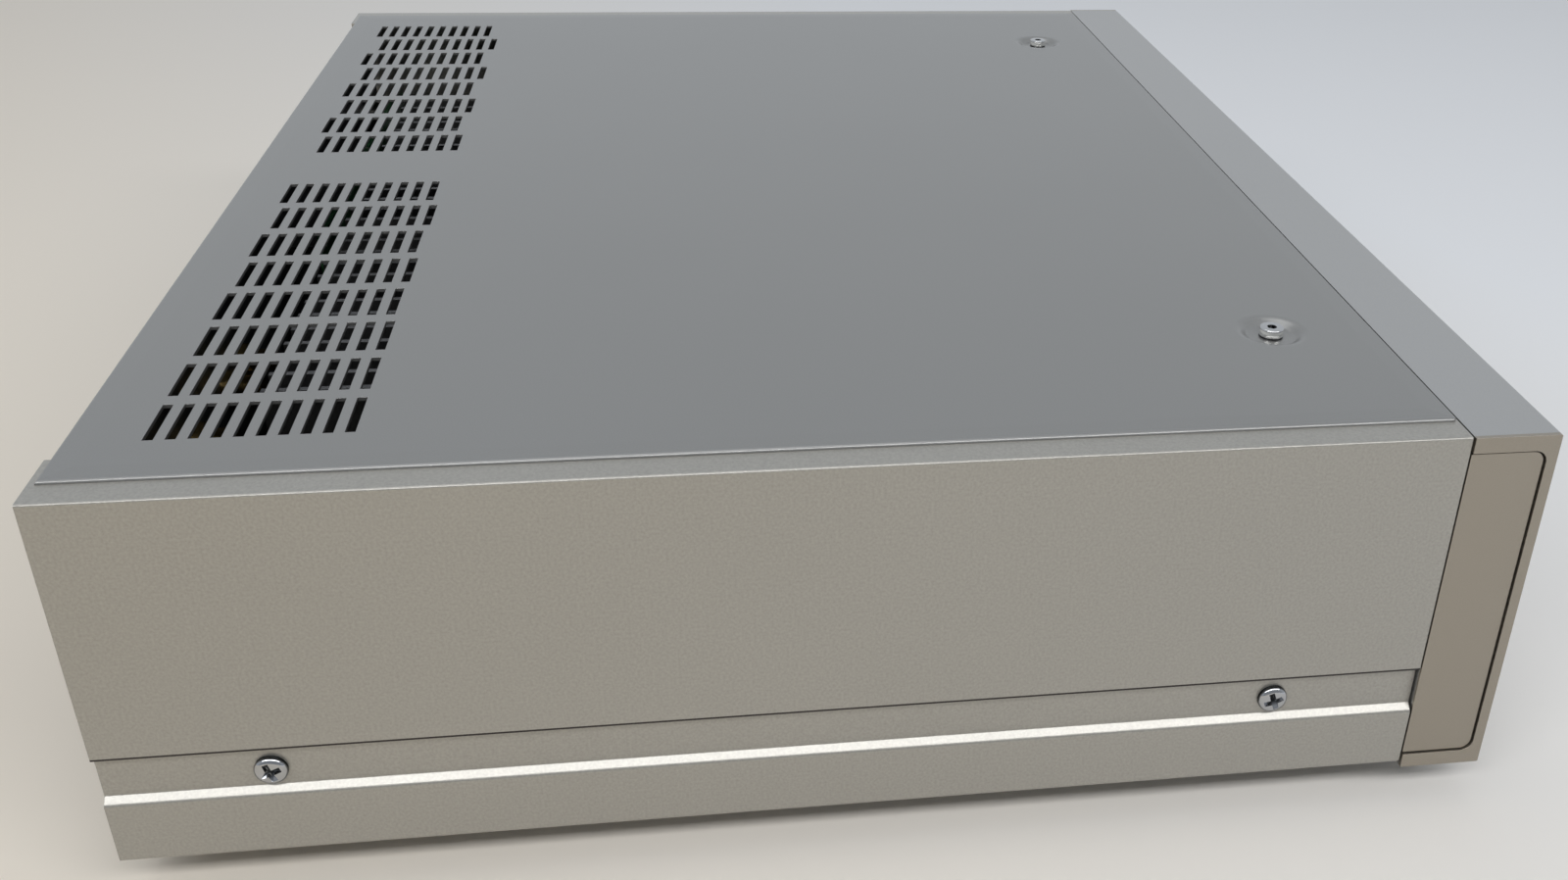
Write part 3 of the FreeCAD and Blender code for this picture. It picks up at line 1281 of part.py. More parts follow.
def mains_inlet_pins():
    front = Y_PANEL + INLET_RIM_SHEET
    tail = front - INLET_CAVITY_DEPTH - INLET_FLOOR - BLADE_TAIL
    return [blade(x, z, tail, front - BLADE_SHORT) for x, z in blade_places()]


def aerial_terminal():
    """A block with two open notches, each with a clip lever on trunnions between its cheeks."""
    half = AERIAL_WIDTH / 2
    y1 = Y_PANEL + AERIAL_DEPTH
    block = box(AERIAL_X - half, AERIAL_X + half, Y_PANEL, y1, AERIAL_LOW, AERIAL_LOW + AERIAL_HEIGHT)
    cuts = []
    notch = LEVER_WIDTH / 2 + SEAT_GAP
    low = LEVER_AXIS_Z - LEVER_LOW - SEAT_GAP
    for x in lever_places():
        top = AERIAL_LOW + AERIAL_HEIGHT + 1
        cuts.append(box(x - notch, x + notch, Y_PANEL + SEAT_GAP, y1 + 1, low, top))
        reach = LEVER_WIDTH / 2 + LEVER_TRUNNION + SEAT_GAP
        cuts.append(rod_x(LEVER_PIVOT_R + SHAFT_GAP, LEVER_AXIS_Y, LEVER_AXIS_Z, x - reach, x + reach))
    return block.cut(cuts)


def aerial_lever(x):
    half = LEVER_WIDTH / 2
    y0 = LEVER_AXIS_Y - LEVER_THICK / 2
    y1 = LEVER_AXIS_Y + LEVER_THICK / 2
    low = LEVER_AXIS_Z - LEVER_LOW
    top = LEVER_AXIS_Z + LEVER_HIGH
    side = [(y0, low), (y1, low), (y1, top - LEVER_THICK), (y1 + LEVER_PROUD, top - LEVER_THICK)]
    side += [(y1 + LEVER_PROUD, top), (y0, top)]
    radii = [LEVER_THICK / 2 - 0.1, 0.5, 0.0, 0.5, 0.5, 0.5]
    plate = prism(side, radii, on_yz(x - half), V(LEVER_WIDTH, 0, 0))
    reach = half + LEVER_TRUNNION
    return fused(plate, [rod_x(LEVER_PIVOT_R, LEVER_AXIS_Y, LEVER_AXIS_Z, x - reach, x + reach)])


def fm_socket():
    """A threaded aerial socket: flange on the panel, barrel outside, body inside."""
    z = Z_TRAY + FM_Z
    flange_y = Y_PANEL + FM_FLANGE
    end = flange_y + FM_BARREL_LENGTH
    inner = FM_BARREL_R - FM_BARREL_WALL
    outline = [(0.0, Y_PANEL_IN - FM_INNER), (FM_BARREL_R, Y_PANEL_IN - FM_INNER), (FM_BARREL_R, Y_PANEL)]
    outline += [(FM_FLANGE_R, Y_PANEL), (FM_FLANGE_R, flange_y), (FM_BARREL_R, flange_y), (FM_BARREL_R, end)]
    outline += [(inner, end), (inner, flange_y), (0.0, flange_y)]
    return turned(outline, AERIAL_X, z)


POST_CAP_NAMES = ["post_cap_right_red", "post_cap_right_black", "post_cap_left_red", "post_cap_left_black"]
TONE_NAMES = ["bass_knob", "treble_knob", "balance_knob"]
LEVER_NAMES = ["aerial_lever_inner", "aerial_lever_outer"]


def case_nodes():
    panel = side_panel()
    cap = end_cap()
    return {
        "base_tray": [base_tray()],
        "left_side_panel": [mirrored(panel)],
        "right_side_panel": [panel],
        "top_cover": [top_cover()],
        "front_fascia": [front_fascia()],
        "left_end_cap": [mirrored(cap)],
        "right_end_cap": [cap],
        "front_subchassis": [front_subchassis()],
        "rear_panel": [rear_panel()],
        "feet": feet(),
        "foot_pads": foot_pads(),
        "foot_screws": foot_screws(),
        "side_screws": side_screws(),
        "cover_screws": cover_screws(),
        "chassis_screws": chassis_screws(),
    }


def control_nodes():
    nodes = {
        "volume_knob": [shaft_knob(VOLUME_R, VOLUME_LENGTH, VOLUME_X, VOLUME_Z)],
        "volume_shaft": [shaft(VOLUME_LENGTH, VOLUME_POT_DEPTH, VOLUME_X, VOLUME_Z)],
        "input_knob": [shaft_knob(INPUT_R, INPUT_LENGTH, INPUT_X, INPUT_Z)],
        "input_shaft": [shaft(INPUT_LENGTH, ENCODER_DEPTH, INPUT_X, INPUT_Z)],
        "power_button": [button(POWER_R, POWER_PROUD, POWER_CAP, POWER_STEM_R, POWER_X)],
        "volume_potentiometer": [rotary_body(VOLUME_POT_SIZE, VOLUME_POT_DEPTH, VOLUME_X, VOLUME_Z)],
        "input_encoder": [rotary_body(ENCODER_SIZE, ENCODER_DEPTH, INPUT_X, INPUT_Z)],
        "tone_potentiometers": [rotary_body(TONE_POT_SIZE, TONE_POT_DEPTH, x, ROW_Z) for x in tone_places()],
        "button_switches": button_switches(),
        "display_window": [display_window()],
        "display_tube": [display_tube()],
        "control_board": [control_board()],
        "headphone_jack": [headphone_jack()],
    }
    for name, x in zip(TONE_NAMES, tone_places()):
        nodes[name] = [stem_knob(x)]
    for i, x in enumerate(button_places()):
        nodes["tuner_button_%d" % (i + 1)] = [button(BUTTON_R, BUTTON_PROUD, BUTTON_CAP, BUTTON_STEM_R, x)]
    return nodes


def inner_nodes():
    return {
        "amplifier_board": [amplifier_board()],
        "board_standoffs": board_standoffs(),
        "heatsink": [heatsink()],
        "output_transistors": output_transistors(),
        "filter_capacitors": filter_capacitors(),
        "power_transformer": [power_transformer()],
        "transformer_clamp": [transformer_clamp()],
        "transformer_bolt": [transformer_bolt()],
        "input_board": [input_board()],
        "tuner_module": [tuner_module()],
    }


def rear_nodes():
    nodes = {
        "mains_inlet": [mains_inlet()],
        "mains_inlet_pins": mains_inlet_pins(),
        "rca_block": [rca_block()],
        "rca_shells": rca_shells(),
        "speaker_terminal_plate": [speaker_terminal_plate()],
        "binding_posts": binding_posts(),
        "aerial_terminal": [aerial_terminal()],
        "fm_socket": [fm_socket()],
    }
    for name, x in zip(POST_CAP_NAMES, post_places()):
        nodes[name] = [post_cap(x)]
    for name, x in zip(LEVER_NAMES, lever_places()):
        nodes[name] = [aerial_lever(x)]
    return nodes


def main():
    os.makedirs("parts", exist_ok=True)
    nodes = {**case_nodes(), **control_nodes(), **inner_nodes(), **rear_nodes()}
    for node, solids in nodes.items():
        write(node, solids)


main()
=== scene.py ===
"""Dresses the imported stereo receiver: finishes, screws, dial marks, socket rings, studio and camera."""

from __future__ import annotations

import logging
import math
from dataclasses import dataclass, field
from enum import Enum

import bmesh
import bpy
from mathutils import Euler, Matrix, Vector

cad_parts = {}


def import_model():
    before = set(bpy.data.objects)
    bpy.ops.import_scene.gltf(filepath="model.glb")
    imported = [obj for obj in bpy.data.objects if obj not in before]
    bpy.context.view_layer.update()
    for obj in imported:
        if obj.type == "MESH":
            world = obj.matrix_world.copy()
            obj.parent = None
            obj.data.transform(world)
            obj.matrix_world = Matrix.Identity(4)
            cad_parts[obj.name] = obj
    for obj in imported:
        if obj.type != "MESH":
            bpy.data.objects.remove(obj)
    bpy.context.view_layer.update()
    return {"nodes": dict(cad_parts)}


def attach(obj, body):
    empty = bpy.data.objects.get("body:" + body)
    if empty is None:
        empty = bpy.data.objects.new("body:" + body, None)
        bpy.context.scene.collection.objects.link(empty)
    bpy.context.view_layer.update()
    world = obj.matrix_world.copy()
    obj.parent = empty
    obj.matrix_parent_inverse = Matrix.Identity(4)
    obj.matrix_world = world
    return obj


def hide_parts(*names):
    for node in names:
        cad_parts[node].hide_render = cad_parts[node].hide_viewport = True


LOG = logging.getLogger("stereo_receiver")
MM = 0.001

Colour = tuple[float, float, float]
Point = tuple[float, float, float]
Pair = tuple[float, float]
Dial = tuple[float, int, float]
Socket = bpy.types.NodeSocket


class Grain(Enum):
    """The fine structure of a surface."""

    FLECKED = "flecked_grain"
    BRUSHED = "brushed_grain"
    SPUN = "spun_grain"


class Slot(Enum):
    """The record's material slots."""

    COVER = "silver_cover"
    CASE = "silver_case"
    FASCIA = "fascia_aluminium"
    KNOB = "knob_aluminium"
    ZINC = "zinc_steel"
    SCREW = "bright_screws"
    REAR = "black_panel"
    BLACK_PLASTIC = "black_plastic"
    RED_PLASTIC = "red_plastic"
    LEVER = "lever_plastic"
    RUBBER = "rubber_pad"
    WINDOW = "smoked_window"
    DISPLAY = "display_glass"
    BOARD = "board_green"
    BRASS = "brass_plate"
    NICKEL = "nickel_plate"
    HEATSINK = "heatsink_aluminium"
    SLEEVE = "capacitor_sleeve"
    WRAP = "transformer_wrap"


class Graph:
    """Adds nodes to a node tree and joins them."""

    def __init__(self, tree: bpy.types.NodeTree) -> None:
        """Keeps the tree that the nodes go into.

        Args:
            tree: The shader or geometry node tree.
        """
        self.tree = tree

    def add(self, kind: str, **settings: object) -> bpy.types.Node:
        """Adds one node.

        Args:
            kind: The node's type name.
            settings: Properties of the node.

        Returns:
            The new node.
        """
        node = self.tree.nodes.new(kind)
        for name, value in settings.items():
            setattr(node, name, value)
        return node

    def feed(self, target: Socket, source: object) -> None:
        """Joins an output to an input, or sets the input's own value.

        Args:
            target: The input socket.
            source: An output socket or a plain value, where a colour is made opaque.
        """
        if isinstance(source, Socket):
            self.tree.links.new(source, target)
        elif target.type == "RGBA":
            target.default_value = (*source, 1.0)
        else:
            target.default_value = source

    def math(self, operation: str, first: object, second: object = 0.0, third: object = 0.0) -> Socket:
        """Adds a Math node.

        Args:
            operation: The node's operation.
            first: The first value or socket.
            second: The second value or socket.
            third: The third value or socket.

        Returns:
            The result's socket.
        """
        node = self.add("ShaderNodeMath", operation=operation)
        for target, source in zip(node.inputs, (first, second, third)):
            self.feed(target, source)
        return node.outputs[0]

    def length(self, first: Socket, second: Socket) -> Socket:
        """Gives the length of a flat vector.

        Args:
            first: Its one part.
            second: Its other part.

        Returns:
            The length's socket.
        """
        squares = [self.math("MULTIPLY", part, part) for part in (first, second)]
        return self.math("SQRT", self.math("ADD", *squares))

    def noise(self, vector: Socket, scale: object, detail: float) -> Socket:
        """Adds a noise pattern.

        Args:
            vector: The coordinates.
            scale: Cells for each metre, as a value or socket.
            detail: The number of finer layers.

        Returns:
            The pattern's socket, from 0 to 1.
        """
        node = self.add("ShaderNodeTexNoise")
        self.feed(node.inputs["Vector"], vector)
        self.feed(node.inputs["Scale"], scale)
        node.inputs["Detail"].default_value = detail
        return node.outputs[0]

    def place(self) -> Socket:
        """Adds the piece's own coordinates, in metres, and returns their socket."""
        return self.add("ShaderNodeTexCoord").outputs["Object"]

    def parts(self, vector: Socket) -> list[Socket]:
        """Splits a vector.

        Args:
            vector: The vector's socket.

        Returns:
            The sockets of its X, Y and Z.
        """
        node = self.add("ShaderNodeSeparateXYZ")
        self.feed(node.inputs[0], vector)
        return list(node.outputs)

    def joined(self, x: object, y: object, z: object) -> Socket:
        """Makes a vector.

        Args:
            x: Its X, as a value or socket.
            y: Its Y.
            z: Its Z.

        Returns:
            The vector's socket.
        """
        node = self.add("ShaderNodeCombineXYZ")
        for target, source in zip(node.inputs, (x, y, z)):
            self.feed(target, source)
        return node.outputs[0]

    def mixed(self, share: object, first: object, second: object) -> Socket:
        """Mixes two colours.

        Args:
            share: How much of the second shows, from 0 to 1.
            first: A colour or socket.
            second: A colour or socket.

        Returns:
            The mixed colour's socket.
        """
        node = self.add("ShaderNodeMix", data_type="RGBA")
        self.feed(node.inputs[0], share)
        self.feed(node.inputs[6], first)
        self.feed(node.inputs[7], second)
        return node.outputs[2]

    def ramp(self, value: Socket, low: float, high: float) -> Socket:
        """Stretches a value from low to high over 0 to 1 and stops it there.

        Args:
            value: The value's socket.
            low: What becomes 0.
            high: What becomes 1.

        Returns:
            The stretched value's socket.
        """
        node = self.add("ShaderNodeMapRange")
        self.feed(node.inputs["Value"], value)
        node.inputs["From Min"].default_value = low
        node.inputs["From Max"].default_value = high
        return node.outputs[0]


class GrainGroup:
    """A shader node group that varies a colour and a roughness by one kind of grain."""

    INPUTS = (
        ("Colour", "NodeSocketColor"),
        ("Roughness", "NodeSocketFloat"),
        ("Pattern", "NodeSocketVector"),
        ("Contrast", "NodeSocketFloat"),
        ("Blotch", "NodeSocketFloat"),
    )
    OUTPUTS = (("Colour", "NodeSocketColor"), ("Roughness", "NodeSocketFloat"), ("Height", "NodeSocketFloat"))
    BLOTCH_SCALE = 9.0
    SMUDGE_SCALE = 23.0
    SMUDGE_DETAIL = 4.0
    SPUN_SCALE = 3600.0
    DETAIL = 3.0
    MEAN = 0.5

    def __init__(self, grain: Grain) -> None:
        """Keeps the kind of grain.

        Args:
            grain: The kind of grain.
        """
        self.grain = grain

    def tree(self) -> bpy.types.NodeTree:
        """Builds the group on first use and returns it."""
        made = bpy.data.node_groups.get(self.grain.value)
        if made is None:
            made = bpy.data.node_groups.new(self.grain.value, "ShaderNodeTree")
            for name, kind in self.INPUTS:
                made.interface.new_socket(name=name, in_out="INPUT", socket_type=kind)
            for name, kind in self.OUTPUTS:
                made.interface.new_socket(name=name, in_out="OUTPUT", socket_type=kind)
            self._fill(Graph(made))
        return made

    def _fill(self, graph: Graph) -> None:
        """Puts the nodes into the group.

        Args:
            graph: The empty group.
        """
        given = graph.add("NodeGroupInput").outputs
        result = graph.add("NodeGroupOutput").inputs
        place = graph.place()
        fine = self._pattern(graph, place, given["Pattern"])
        blotch = graph.math("SUBTRACT", graph.noise(place, self.BLOTCH_SCALE, self.DETAIL), self.MEAN)
        grain_tone = graph.math("MULTIPLY", graph.math("SUBTRACT", fine, self.MEAN), given["Contrast"])
        tone = graph.math("ADD", graph.math("MULTIPLY_ADD", blotch, given["Blotch"], 1.0), grain_tone)
        tinted = graph.add("ShaderNodeVectorMath", operation="SCALE")
        graph.feed(tinted.inputs[0], given["Colour"])
        graph.feed(tinted.inputs["Scale"], tone)
        smudge = graph.math("SUBTRACT", graph.noise(place, self.SMUDGE_SCALE, self.SMUDGE_DETAIL), self.MEAN)
        matt = graph.math("MULTIPLY_ADD", smudge, given["Blotch"], 1.0)
        graph.feed(result["Colour"], tinted.outputs[0])
        graph.feed(result["Roughness"], graph.math("MULTIPLY", given["Roughness"], matt))
        graph.feed(result["Height"], fine)

    def _pattern(self, graph: Graph, place: Socket, pattern: Socket) -> Socket:
        """Makes the fine pattern.

        Args:
            graph: The group.
            place: The piece's coordinates.
            pattern: Cells for each metre along the axes, or the centre of a spun face.

        Returns:
            The pattern's socket, from 0 to 1.
        """
        if self.grain is Grain.SPUN:
            offset = graph.add("ShaderNodeVectorMath", operation="SUBTRACT")
            graph.feed(offset.inputs[0], place)
            graph.feed(offset.inputs[1], pattern)
            x, y, z = graph.parts(offset.outputs[0])
            return graph.noise(graph.joined(graph.length(x, z), y, 0.0), self.SPUN_SCALE, self.DETAIL)
        stretched = graph.add("ShaderNodeVectorMath", operation="MULTIPLY")
        graph.feed(stretched.inputs[0], place)
        graph.feed(stretched.inputs[1], pattern)
        return graph.noise(stretched.outputs[0], 1.0, self.DETAIL)


@dataclass(frozen=True)
class Finish:
    """A surface finish: colour, gloss and grain."""

    name: str
    colour: Colour
    metallic: float = 0.0
    roughness: float = 0.5
    grain: Grain = Grain.FLECKED
    pattern: Point = (2600.0, 2600.0, 2600.0)
    contrast: float = 0.12
    blotch: float = 0.05
    relief_mm: float = 0.01
    coat: float = 0.0
    coat_roughness: float = 0.1
    transmission: float = 0.0
    edge_mm: float = 0.0

    def material(self) -> bpy.types.Material:
        """Builds the material on first use and returns it."""
        made = bpy.data.materials.get("finish_" + self.name)
        if made is None:
            made = bpy.data.materials.new("finish_" + self.name)
            made.use_nodes = True
            self._fill(Graph(made.node_tree))
        return made

    def _fill(self, graph: Graph) -> None:
        """Puts the nodes into the material.

        Args:
            graph: The new material's tree.
        """
        shader = graph.tree.nodes["Principled BSDF"].inputs
        shader["Metallic"].default_value = self.metallic
        shader["Coat Weight"].default_value = self.coat
        shader["Coat Roughness"].default_value = self.coat_roughness
        shader["Transmission Weight"].default_value = self.transmission
        grain = graph.add("ShaderNodeGroup", node_tree=GrainGroup(self.grain).tree())
        graph.feed(grain.inputs["Colour"], self._base(graph))
        grain.inputs["Roughness"].default_value = self.roughness
        grain.inputs["Pattern"].default_value = self.pattern
        grain.inputs["Contrast"].default_value = self.contrast
        grain.inputs["Blotch"].default_value = self.blotch
        graph.feed(shader["Base Color"], grain.outputs["Colour"])
        graph.feed(shader["Roughness"], grain.outputs["Roughness"])
        bump = graph.add("ShaderNodeBump")
        bump.inputs["Distance"].default_value = self.relief_mm * MM
        graph.feed(bump.inputs["Height"], self._height(graph, grain.outputs["Height"]))
        if self.edge_mm > 0.0:
            edge = graph.add("ShaderNodeBevel", samples=4)
            edge.inputs["Radius"].default_value = self.edge_mm * MM
            graph.feed(bump.inputs["Normal"], edge.outputs["Normal"])
        graph.feed(shader["Normal"], bump.outputs["Normal"])

    def _base(self, graph: Graph) -> object:
        """Gives the colour under the grain.

        Args:
            graph: The material's tree.

        Returns:
            A colour or its socket.
        """
        return self.colour

    def _height(self, graph: Graph, grain: Socket) -> Socket:
        """Gives the relief.

        Args:
            graph: The material's tree.
            grain: The grain's height.

        Returns:
            The height's socket.
        """
        return grain


@dataclass(frozen=True)
class CaseFinish(Finish):
    """Silver lacquer on sheet, with painted shade: a thin dark band along the side panels' cut lower edge."""

    cut_z: float = 0.0454
    cut_width: float = 0.00055
    wall_x: float = 0.2192
    # Painted shade along the panels' cut lower edge.
    painted_edge_shade: Colour = (0.035, 0.03, 0.03)

    def _base(self, graph: Graph) -> object:
        """Darkens a thin band along the panels' cut edge, painted shade for the shadow line there.

        Args:
            graph: The material's tree.

        Returns:
            The colour's socket.
        """
        x, _, z = graph.parts(graph.place())
        low = graph.math("COMPARE", z, self.cut_z, self.cut_width)
        outer = graph.math("GREATER_THAN", graph.math("ABSOLUTE", x), self.wall_x)
        return graph.mixed(graph.math("MULTIPLY", low, outer), self.colour, self.painted_edge_shade)


@dataclass(frozen=True)
class CoverFinish(Finish):
    """Silver lacquer with a few specks of dust."""

    speck_scale: float = 14.0
    speck_r: float = 0.0042
    speck_share: float = 0.72
    dust: Colour = (0.62, 0.62, 0.6)

    def _base(self, graph: Graph) -> object:
        """Scatters the specks.

        Args:
            graph: The material's tree.

        Returns:
            The colour's socket.
        """
        cells = graph.add("ShaderNodeTexVoronoi")
        cells.inputs["Scale"].default_value = self.speck_scale
        graph.feed(cells.inputs["Vector"], graph.place())
        chosen = graph.math("GREATER_THAN", graph.parts(cells.outputs["Color"])[0], self.speck_share)
        near = graph.math("LESS_THAN", cells.outputs["Distance"], self.speck_r)
        return graph.mixed(graph.math("MULTIPLY", chosen, near), self.colour, self.dust)


@dataclass(frozen=True)
class FasciaFinish(Finish):
    """Anodised extrusion, with the extrusion's ends and end caps painted a warmer, deeper tone: a painted
    reflection of the warm floor.
    """

    # Painted reflection of the warm floor on the sideways faces and end caps.
    painted_warm_reflection: Colour = (0.36, 0.325, 0.275)
    end_x: Pair = (0.2192, 0.2194)

    def _base(self, graph: Graph) -> object:
        """Gives the faces that look out sideways the warmer, deeper tone, a painted reflection of the warm
        floor.

        Args:
            graph: The material's tree.

        Returns:
            The colour's socket.
        """
        x, _, _ = graph.parts(graph.place())
        end = graph.ramp(graph.math("ABSOLUTE", x), *self.end_x)
        return graph.mixed(end, self.colour, self.painted_warm_reflection)


@dataclass(frozen=True)
class SideScrewFinish(Finish):
    """Bright plate, with painted shade in the recess and at the foot of the head."""

    wall_x: float = 0.218
    proud: Pair = (0.0007, 0.0013)
    # Painted shade for the recess and the foot of the head.
    shaded: Colour = (0.03, 0.033, 0.035)

    def _base(self, graph: Graph) -> object:
        """Darkens what lies close to the wall that the screw sits on, as painted shade.

        Args:
            graph: The material's tree.

        Returns:
            The colour's socket.
        """
        x, _, _ = graph.parts(graph.place())
        proud = graph.math("SUBTRACT", graph.math("ABSOLUTE", x), self.wall_x)
        return graph.mixed(graph.ramp(proud, *self.proud), self.shaded, self.colour)


@dataclass(frozen=True)
class CoverScrewFinish(Finish):
    """Plate with the top face painted darker, and painted shade in the socket and at the foot."""

    axis: Pair = (0.0, 0.0)
    foot_z: Pair = (0.1164, 0.1167)
    top_z: Pair = (0.1182, 0.1183)
    socket_r: Pair = (0.00125, 0.0014)
    # Painted shade: the top face darker than the sides, and the socket and foot dark.
    painted_dark_top: Colour = (0.5, 0.505, 0.51)
    shaded: Colour = (0.07, 0.07, 0.075)

    def _base(self, graph: Graph) -> object:
        """Paints the top face darker and the socket and the foot dark, all as painted shade.

        Args:
            graph: The material's tree.

        Returns:
            The colour's socket.
        """
        x, y, z = graph.parts(graph.place())
        off_x = graph.math("SUBTRACT", graph.math("ABSOLUTE", x), self.axis[0])
        off_y = graph.math("SUBTRACT", y, self.axis[1])
        radius = graph.length(off_x, off_y)
        side = graph.mixed(graph.ramp(z, *self.foot_z), self.shaded, self.colour)
        head = graph.mixed(graph.ramp(z, *self.top_z), side, self.painted_dark_top)
        return graph.mixed(graph.ramp(radius, *self.socket_r), self.shaded, head)


@dataclass(frozen=True)
class BoardFinish(Finish):
    """Solder mask over copper tracks, with tinned pads."""

    track: Colour = (0.05, 0.17, 0.07)
    pad: Colour = (0.62, 0.61, 0.56)
    pitch_mm: float = 2.54
    track_pitches: float = 4.0
    track_shift: float = 0.37
    track_gap: float = 0.045
    track_length: float = 0.9
    track_width: float = 0.3
    pad_pitches: float = 2.2
    pad_edge: Pair = (0.17, 0.14)

    def _base(self, graph: Graph) -> object:
        """Draws tracks and pads on the mask's colour.

        Args:
            graph: The material's tree.

        Returns:
            The colour's socket.
        """
        place = graph.place()
        tracks = graph.add("ShaderNodeTexBrick", offset=self.track_shift)
        tracks.inputs["Scale"].default_value = 1.0 / (self.track_pitches * self.pitch_mm * MM)
        tracks.inputs["Mortar Size"].default_value = self.track_gap
        tracks.inputs["Brick Width"].default_value = self.track_length
        tracks.inputs["Row Height"].default_value = self.track_width
        x, y, z = graph.parts(place)
        graph.feed(tracks.inputs["Vector"], graph.joined(x, graph.math("ADD", y, z), 0.0))
        pads = graph.add("ShaderNodeTexVoronoi", distance="EUCLIDEAN")
        pads.inputs["Scale"].default_value = 1.0 / (self.pad_pitches * self.pitch_mm * MM)
        graph.feed(pads.inputs["Vector"], place)
        masked = graph.mixed(tracks.outputs["Fac"], self.colour, self.track)
        return graph.mixed(graph.ramp(pads.outputs["Distance"], *self.pad_edge), masked, self.pad)


@dataclass(frozen=True)
class SleeveFinish(Finish):
    """A shrink sleeve with a pale stripe down it and a bare metal top."""

    stripe: Colour = (0.42, 0.43, 0.45)
    top: Colour = (0.62, 0.63, 0.64)
    stripe_y: Pair = (-0.0535, -0.0537)
    top_z: Pair = (0.0852, 0.0853)

    def _base(self, graph: Graph) -> object:
        """Draws the stripe and the top.

        Args:
            graph: The material's tree.

        Returns:
            The colour's socket.
        """
        _, y, z = graph.parts(graph.place())
        striped = graph.mixed(graph.ramp(y, *self.stripe_y), self.colour, self.stripe)
        return graph.mixed(graph.ramp(z, *self.top_z), striped, self.top)


@dataclass(frozen=True)
class WrapFinish(Finish):
    """Polyester tape wound round a ring, each turn lapping the last."""

    centre: Pair = (-0.122, -0.04245)
    turns: float = 46.0
    covered: Pair = (0.75, 1.0)
    shade: float = 0.6
    step: float = 4.0

    def _lap(self, graph: Graph) -> Socket:
        """Makes the saw-tooth of the lapped turns.

        Args:
            graph: The material's tree.

        Returns:
            The pattern's socket, from 0 to 1 across each turn.
        """
        x, y, _ = graph.parts(graph.place())
        across = graph.math("SUBTRACT", x, self.centre[0])
        along = graph.math("SUBTRACT", y, self.centre[1])
        angle = graph.math("ARCTAN2", along, across)
        return graph.math("FRACT", graph.math("MULTIPLY", angle, self.turns / math.tau))

    def _base(self, graph: Graph) -> object:
        """Darkens the tape towards the edge that the next turn covers.

        Args:
            graph: The material's tree.

        Returns:
            The colour's socket.
        """
        dark = tuple(self.shade * value for value in self.colour)
        return graph.mixed(graph.ramp(self._lap(graph), *self.covered), self.colour, dark)

    def _height(self, graph: Graph, grain: Socket) -> Socket:
        """Adds the step of each turn to the grain.

        Args:
            graph: The material's tree.
            grain: The grain's height.

        Returns:
            The height's socket.
        """
        return graph.math("MULTIPLY_ADD", self._lap(graph), self.step, grain)


